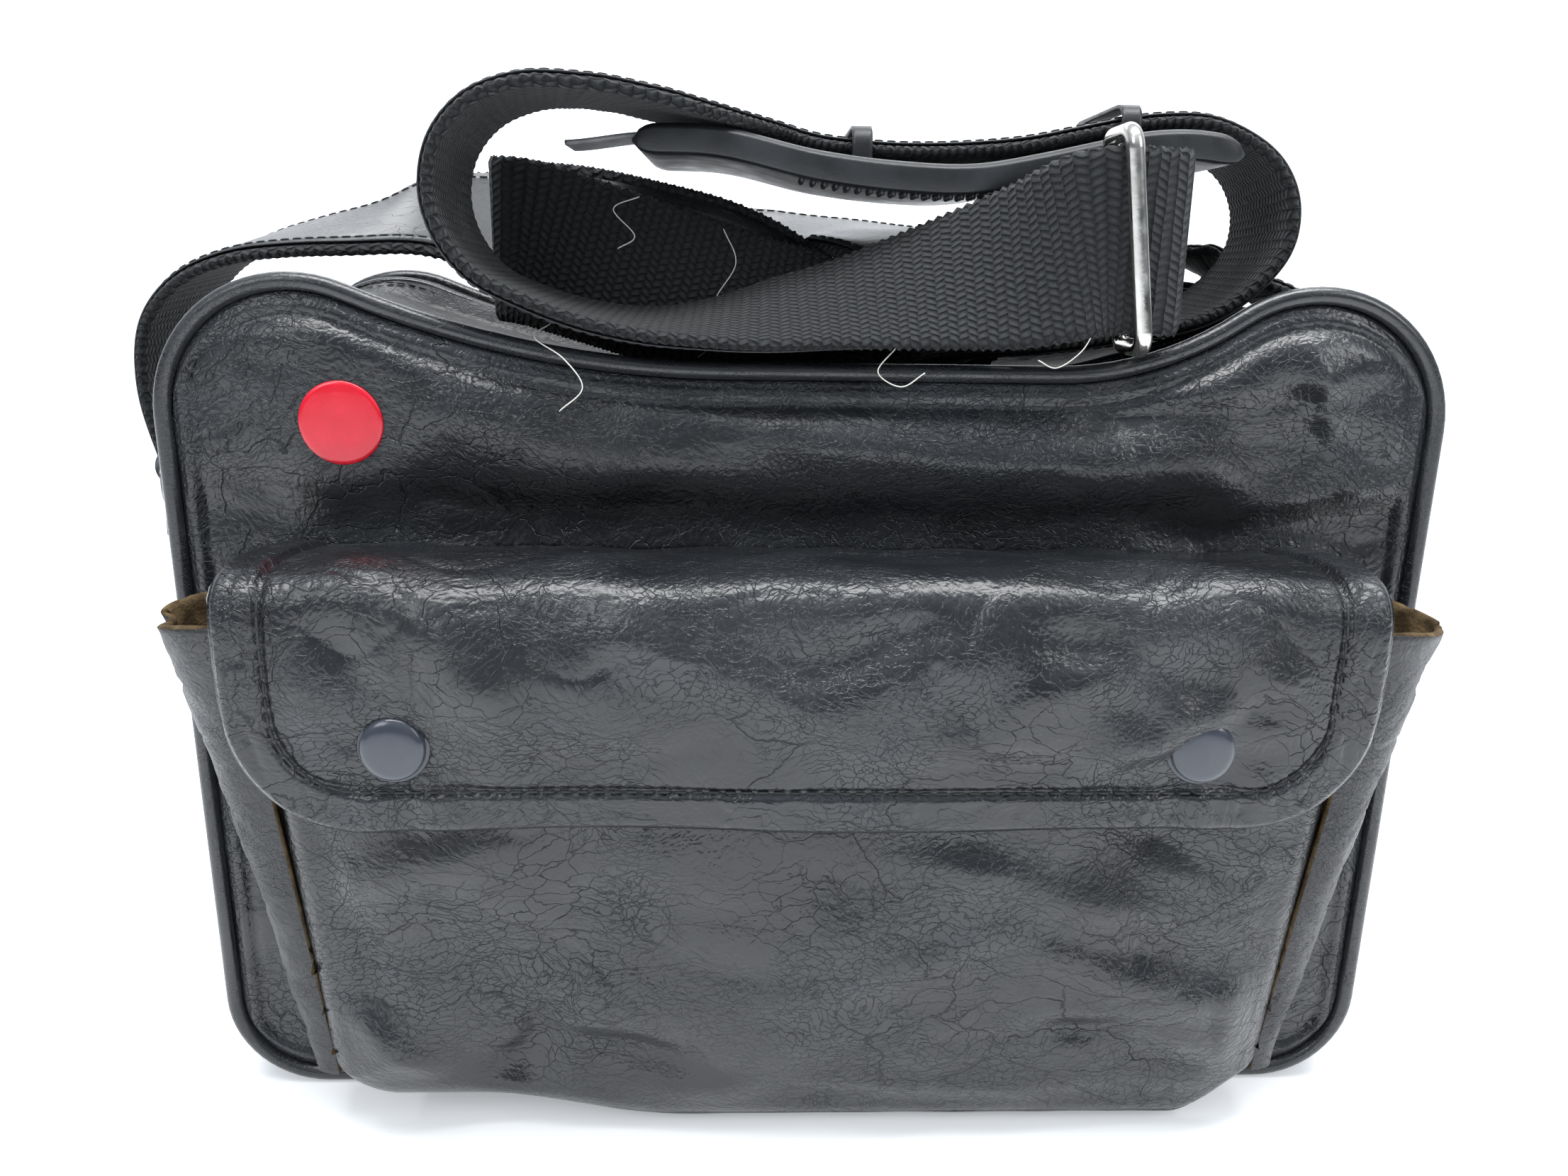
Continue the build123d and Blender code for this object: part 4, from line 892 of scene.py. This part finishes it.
# ---- Strap: its route as in the CAD (x, y, z and tilt in degrees), anchor to anchor ----
ROUTE = (
    (-151.2, 10, 92, 0), (-151.2, 10, 121, 0), (-156, 10, 136, 0), (-162.5, 9.5, 156, 0),
    (-165.5, 9, 174, 0), (-163, 9, 190, 2), (-154, 8, 201, 5), (-141, 7.5, 207.5, 8),
    (-126, 7, 211, 13), (-110, 7, 213.5, 20), (-96, 9, 216.3, 31), (-84, 13, 216, 38),
    (-72, 17, 214.5, 42), (-56, 18.5, 213, 43), (-40, 18.5, 211.5, 40), (-22, 18, 211.2, 32),
    (-6, 19, 213, 20), (7, 18, 213.3, 11), (18, 9, 212, 10), (30, -6, 209.5, 15),
    (40, -21.5, 207, 30), (48.5, -36, 205.3, 47), (54, -42.6, 208.4, 71), (60, -45.8, 210.8, 86),
    (66, -46.6, 211.3, 90), (74.5, -46.7, 211.3, 90), (77.4, -47.9, 211.3, 90),
    (78.6, -50.7, 211.3, 90), (77.4, -53.5, 211.3, 90), (74.5, -54.7, 211.3, 90),
    (60, -54.7, 211.1, 88), (45, -47.8, 206.5, 65), (33, -43.8, 203.7, 50), (20, -41, 200.8, 38),
    (5, -39.1, 197.7, 27), (-8, -38.3, 195.5, 21), (-22, -37.4, 193.4, 12),
    (-36, -37.1, 192.8, 6), (-50, -37, 194.8, 3), (-62, -37, 198.6, 1),
    (-72, -36.5, 203.5, 0), (-78, -36, 211, 0), (-80.5, -35, 220, 0),
    (-78.5, -34.5, 229.5, 0), (-72, -34, 237, 0), (-62, -33, 241, 0), (-51, -31, 241.5, 0),
    (-40, -26, 240.6, 0), (-31, -19.5, 239.3, 0), (-22, -13, 237.8, 0),
    (-11, -7, 235.8, 0), (3, -3.5, 232.9, 0), (20, -2, 231.7, 0), (38, -1.5, 232.2, 0),
    (52, -1.5, 233.6, 0), (64, -1.5, 236, 0), (74, -2, 238, 0), (84, -2.5, 239.2, 0),
    (94, -3.5, 238.7, 0), (103, -4.5, 235, 0), (110, -6, 229, 0), (113.6, -7, 221, 0),
    (113, -7.5, 211.5, 0), (106.5, -7.5, 202.5, 0), (97, -7, 195.7, 0), (86, -7, 192.4, 0),
    (70, -8, 190.7, 2), (52, -10.5, 190.4, 8), (36, -12, 190.8, 15), (20, -12, 190, 35),
    (8, -14, 191.4, 55), (-6, -13, 193.2, 70), (-22, -13.5, 197, 76),
    (-40, -13.5, 202.2, 80), (-56, -13.5, 207, 84), (-66, -13.5, 209.8, 88),
    (-70.5, -13.4, 210.5, 90), (-74, -12, 210.8, 90), (-75.5, -8.5, 210.9, 90),
    (-74, -5, 210.8, 90), (-70.5, -3.6, 210.5, 90), (-56, -3.6, 209.5, 90),
    (-40, -4.3, 206.6, 86), (-22, -5, 202.3, 82), (-6, -4.5, 195, 77), (7, -1, 187.8, 70),
    (20, 8, 186.6, 52), (36, 19, 188, 28), (54, 28.5, 190.6, 10), (72, 32.5, 195, 3),
    (88, 34.5, 202, 0), (99, 35, 207.3, 0), (108, 34.5, 209, 0), (116, 30, 206.8, 0),
    (122.5, 24.3, 203, 0), (130, 22.5, 199.8, 0), (138, 21, 195.5, 0), (146, 19, 188, 0),
    (151.6, 17, 177, 0), (153.2, 15.5, 162, 0), (152.4, 13.5, 142, 0), (151.2, 12, 121, 0),
    (151.2, 12, 92, 0),
)
WEB_HALF, WEB_THICK_HALF, FACING_HALF, FACING_THICK_HALF = 19.0, 1.3, 16.6, 0.5
FACING_LIFT = WEB_THICK_HALF + 0.3 + 0.45
STRAP_STEP, STITCH_SIDE, STRAP_ENDS = 1.05, 14.6, 6


def unit(vectors):
    return vectors / np.linalg.norm(vectors, axis=1, keepdims=True)


def strap_frame():
    """The strap's middle line, its direction across and its face, at even steps along it."""
    stops = np.array(ROUTE, float)
    chord = np.linalg.norm(np.diff(stops[:, :3], axis=0), axis=1) ** 0.5
    knots = np.concatenate([[0], np.cumsum(chord)])
    dense = np.linspace(0, knots[-1], 6000)
    line = np.stack([spline_through(column, knots, dense) for column in stops.T], 1)
    run = run_along(line[:, :3])
    at = np.arange(0, run[-1], STRAP_STEP)
    line = np.stack([soften(column, 2) for column in resample(line, run, at).T], 1)
    centre, tilt = line[:, :3], np.radians(line[:, 3])
    along = unit(np.gradient(centre, axis=0))
    across = np.stack([np.zeros(len(tilt)), np.cos(tilt), np.sin(tilt)], 1)
    across = unit(across - along * (across * along).sum(1, keepdims=True))
    return at, centre, across, np.cross(along, across)


strap_at, strap_centre, strap_across, strap_face = strap_frame()


def ribbon(name, half_width, half_thick, lift, columns, material, braid=0.0):
    """A closed band along the strap with rounded edges, braided where braid is above 0."""
    w = np.linspace(-1, 1, columns)
    w, face = np.concatenate([w, w[::-1]]), np.repeat([1.0, -1.0], columns)
    round_off = np.sqrt(np.clip(1 - np.clip(np.abs(w) - 0.94, 0, 1) ** 2 / 0.06 ** 2, 0, 1))
    edge = braid * smooth(0.86, 1.0, np.abs(w)) * np.sin(2 * math.pi * strap_at[:, None] / 2.1 + 2.2 * face)
    side = w * half_width
    spread = side + np.sign(w) * edge
    rise = face * (0.35 + 0.65 * round_off) * half_thick + lift + edge * 0.5 * face
    p = (strap_centre[:, None, :] + spread[..., None] * strap_across[:, None, :]
         + rise[..., None] * strap_face[:, None, :])
    uv = np.stack(np.broadcast_arrays(strap_at[:, None], side), -1).reshape(-1, 2) * MM
    return build(name, p.reshape(-1, 3), ring_faces(*p.shape[:2]), [material], "case", uv=uv)


band_piece = ribbon("strap_webbing_cloth", WEB_HALF, WEB_THICK_HALF, 0.0, 27, webbing, 0.42)
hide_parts("strap_webbing")
facing_piece = ribbon("strap_facing_hide", FACING_HALF, FACING_THICK_HALF, FACING_LIFT, 12, strap_leather)
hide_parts("strap_facing")
for name, side in (("near", -STITCH_SIDE), ("far", STITCH_SIDE)):
    path = strap_centre + strap_across * side + strap_face * (FACING_LIFT + FACING_THICK_HALF - 0.02)
    sewn = slice(STRAP_ENDS, -STRAP_ENDS)
    row = stitch_row(f"strap_stitches_{name}", path[sewn], strap_face[sewn], "case", 3.0, 0.25, 0.05)

# ---- Carried-over CAD nodes: their materials ----
LOOKS = {
    "piping_front": edge_leather, "piping_rear": edge_leather, "strap_anchor_left": edge_leather,
    "strap_anchor_right": edge_leather, "zip_slider": black_plate, "zip_pull": worn_ring,
    "zip_end_tab_left": hide, "zip_end_tab_right": hide, "front_padding": foam, "rear_padding": foam,
    "base_board": board, "padded_divider": pile, "snap_sockets": black_plate, "snap_studs": black_plate,
    "strap_buckle": wire,
}
for node, material in LOOKS.items():
    mesh = nodes[node].data
    mesh.materials.clear()
    mesh.materials.append(material)
    for polygon in mesh.polygons:
        polygon.material_index = 0

# ---- Shoulder pad ----
PAD_TOP = np.array([
    (-40, 235.6), (-23, 235.4), (3, 230.3), (20, 228.5), (38, 228.3), (52, 230.7), (64, 233.3),
    (75, 235.6), (86, 236.2), (98, 234.8),
])
PAD_LEFT, PAD_RIGHT, PAD_NEAR, PAD_FAR, PAD_THICK = -40, 98, -33.0, 20.0, 6.0
PAD_ROWS, PAD_SIDES = 90, 64
KEEPERS = ((12.0, -23.2, 18.0, 235.9, 229.0), (74.0, -22.6, 18.2, 241.6, 235.0))
NUB_LANES, NUB_PITCH = (-31.0, -27.5, -24.0), 2.6


def pad_height(x):
    return spline_through(PAD_TOP[:, 1], PAD_TOP[:, 0], x)


def pad_body():
    """A thick rubber strip with rounded ends and a low rail along each edge of its top."""
    a = np.linspace(0, 2 * math.pi, PAD_SIDES, endpoint=False)
    y, z = (np.sign(wave) * np.abs(wave) ** 0.16 for wave in (np.cos(a), np.sin(a)))
    x = np.linspace(PAD_LEFT, PAD_RIGHT, PAD_ROWS)[:, None]
    end = np.clip(np.minimum(x - PAD_LEFT, PAD_RIGHT - x) / 6.0, 0, 1)
    thin = np.sqrt(np.clip(1 - (1 - end) ** 2, 0.02, 1))
    rail = 0.9 * bump(np.abs(y), 0.93, 0.06) * (z > 0)
    across = (PAD_FAR + PAD_NEAR) / 2 + (PAD_FAR - PAD_NEAR) / 2 * y * (0.93 + 0.07 * thin)
    up = pad_height(x) - PAD_THICK / 2 - 0.5 + (z * PAD_THICK / 2 + rail) * thin
    verts = np.stack(np.broadcast_arrays(x, across, up), -1).reshape(-1, 3)
    return build("shoulder_pad_rubber", verts, ring_faces(PAD_ROWS, PAD_SIDES, inward=True), [rubber], "pad")


def pad_keeper(number, x, near, far, top, bottom):
    """A thin loop from the pad over the strap."""
    bend = np.array([(near - 0.6, bottom - 1), (near - 0.8, top - 2), (near + 0.8, top),
                     (near + 3, top + 0.5), (far - 3, top + 0.5), (far - 0.8, top),
                     (far + 0.8, top - 2), (far + 0.6, bottom - 1)])
    run = run_along(bend)
    line = resample(bend, run, np.linspace(0, run[-1], 90))
    y, z = (soften(column, 4)[:, None] for column in line.T)
    p = np.stack(np.broadcast_arrays(x + np.linspace(-2.2, 2.2, 7)[None, :], y, z), -1)
    return slab(f"pad_keeper_{number}", p, 0.9, [rubber], "pad")


def pad_nubs():
    """Rows of small rubber studs under the pad's near edge, short of the strap's bend."""
    row_x = np.linspace(PAD_LEFT, PAD_RIGHT, PAD_ROWS)
    row_z = pad_height(row_x)
    starts, ends = [], []
    for x in np.arange(-2, 43, NUB_PITCH):
        underside = np.interp(x, row_x, row_z) - PAD_THICK - 0.4
        for lane in NUB_LANES:
            starts.append((x, lane, underside + 0.6))
            ends.append((x, lane, underside - 1.1))
    return capsules("pad_nubs", starts, ends, 0.7, rubber, "pad")


def pad_tongue():
    """The grey tab at the pad's left end."""
    x, y = np.broadcast_arrays(np.linspace(-56, -36, 20)[:, None], np.linspace(-24, -8, 9)[None, :])
    z = 234.2 + 0.05 * (x + 36) + 0.6 * np.cos(x / 6)
    return slab("pad_tongue", np.stack([x, y, z], -1), 1.1, [grey_rubber], "pad")


pad = pad_body()
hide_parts("shoulder_pad")
keepers = [pad_keeper(number, *sizes) for number, sizes in enumerate(KEEPERS)]
for piece in (pad, *keepers, pad_nubs(), pad_tongue()):
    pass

# ---- Lint threads caught on the webbing ----
LINT = (
    ((-20, -15.5, 214), (-17, -17.5, 206), (-22, -18.5, 197), (-19, -19.5, 190), (-26, -21, 184)),
    ((-58, -40, 192.5), (-60, -50, 190), (-53, -56, 186), (-49, -57, 180), (-54, -57.5, 175)),
    ((18, -53.5, 189), (14, -56, 184), (19, -57, 181), (24, -57, 184)),
    ((-40, -15.8, 221), (-46, -17.5, 218), (-41, -18.5, 212), (-45, -19, 209)),
    ((60, -57.2, 194), (57, -58, 189), (52, -58, 185.5), (48, -57.5, 187)),
)
LINT_POINTS, LINT_RADIUS = 40, 0.14
for number, points in enumerate(LINT):
    points = np.array(points, float)
    knots = np.arange(len(points), dtype=float)
    at = np.linspace(0, knots[-1], LINT_POINTS)
    path = np.stack([spline_through(column, knots, at) for column in points.T], 1)
    piece = tube(f"lint_{number}", path, LINT_RADIUS, lint, "case", sides=5)

# ---- Floor, with a curved white backdrop behind, in metres (y, z) ----
SWEEP = ((-7.0, 0.0), (1.2, 0.0), (1.5, 0.04), (1.75, 0.16), (1.9, 0.4), (1.95, 0.8), (1.95, 2.6))
FLOOR_HALF = 7.0
verts = [(side * FLOOR_HALF / MM, y / MM, z / MM) for y, z in SWEEP for side in (-1, 1)]
faces = [(2 * k, 2 * k + 1, 2 * k + 3, 2 * k + 2) for k in range(len(SWEEP) - 1)]
white = Shader("white_floor")
white.set(Roughness=0.6, Base_Color=(0.93, 0.935, 0.945, 1), Emission_Color=(0.95, 0.97, 1, 1),
          Emission_Strength=0.30)
ground = build("floor", verts, faces, [white.material], None)


# ---- World, lights and camera ----

def studio_world():
    """A pale sky that darkens towards the horizon, so that the folds of the hide show."""
    world = bpy.data.worlds.new("studio")
    bpy.context.scene.world = world
    world.use_nodes = True
    tree = world.node_tree
    background = tree.nodes["Background"]
    facing = tree.nodes.new("ShaderNodeTexCoord")
    parts = tree.nodes.new("ShaderNodeSeparateXYZ")
    climb = tree.nodes.new("ShaderNodeMapRange")
    for key, number in (("From Min", 0.0), ("From Max", 0.8), ("To Min", 0.05), ("To Max", 1.0)):
        climb.inputs[key].default_value = number
    tree.links.new(facing.outputs["Generated"], parts.inputs[0])
    tree.links.new(parts.outputs["Z"], climb.inputs["Value"])
    tree.links.new(climb.outputs[0], background.inputs["Strength"])
    background.inputs["Color"].default_value = (0.84, 0.92, 1.0, 1)


def area_light(name, place, aim, size, power, colour=(1, 1, 1)):
    data = bpy.data.lights.new(name, "AREA")
    data.shape = "RECTANGLE"
    data.size, data.size_y = size
    data.energy = power
    data.color = colour
    obj = bpy.data.objects.new(name, data)
    bpy.context.scene.collection.objects.link(obj)
    obj.location = place
    obj.rotation_euler = (Vector(aim) - Vector(place)).to_track_quat("-Z", "Y").to_euler()


def photo_camera():
    """The photo's camera: where it stood, and its yaw, pitch and roll in degrees."""
    data = bpy.data.cameras.new("camera")
    data.sensor_width = 36
    data.lens = 27.0
    data.clip_start = 0.01
    camera = bpy.data.objects.new("camera", data)
    bpy.context.scene.collection.objects.link(camera)
    camera.location = (-0.0133, -0.3106, 0.2056)
    yaw, pitch, roll = 1.77, 15.31, -0.87
    look = Euler((math.radians(90 - pitch), 0, math.radians(-yaw)), "XYZ").to_matrix()
    spin = Euler((0, 0, math.radians(-roll)), "XYZ").to_matrix()
    camera.rotation_euler = (look @ spin).to_euler()
    bpy.context.scene.camera = camera


studio_world()
area_light("overhead", (0.05, -0.2, 1.2), (0, 0, 0.1), (1.3, 0.45), 17)
area_light("front_left", (-1.0, -1.2, 1.1), (0, 0, 0.1), (0.7, 0.6), 6, (0.95, 0.98, 1))
area_light("front_right", (1.2, -0.9, 1.0), (0, 0, 0.1), (0.5, 0.8), 6)
area_light("back", (0.0, 0.9, 1.1), (0, 1.2, 0.0), (1.6, 0.6), 14)
photo_camera()
bpy.context.scene.view_settings.view_transform = "Standard"
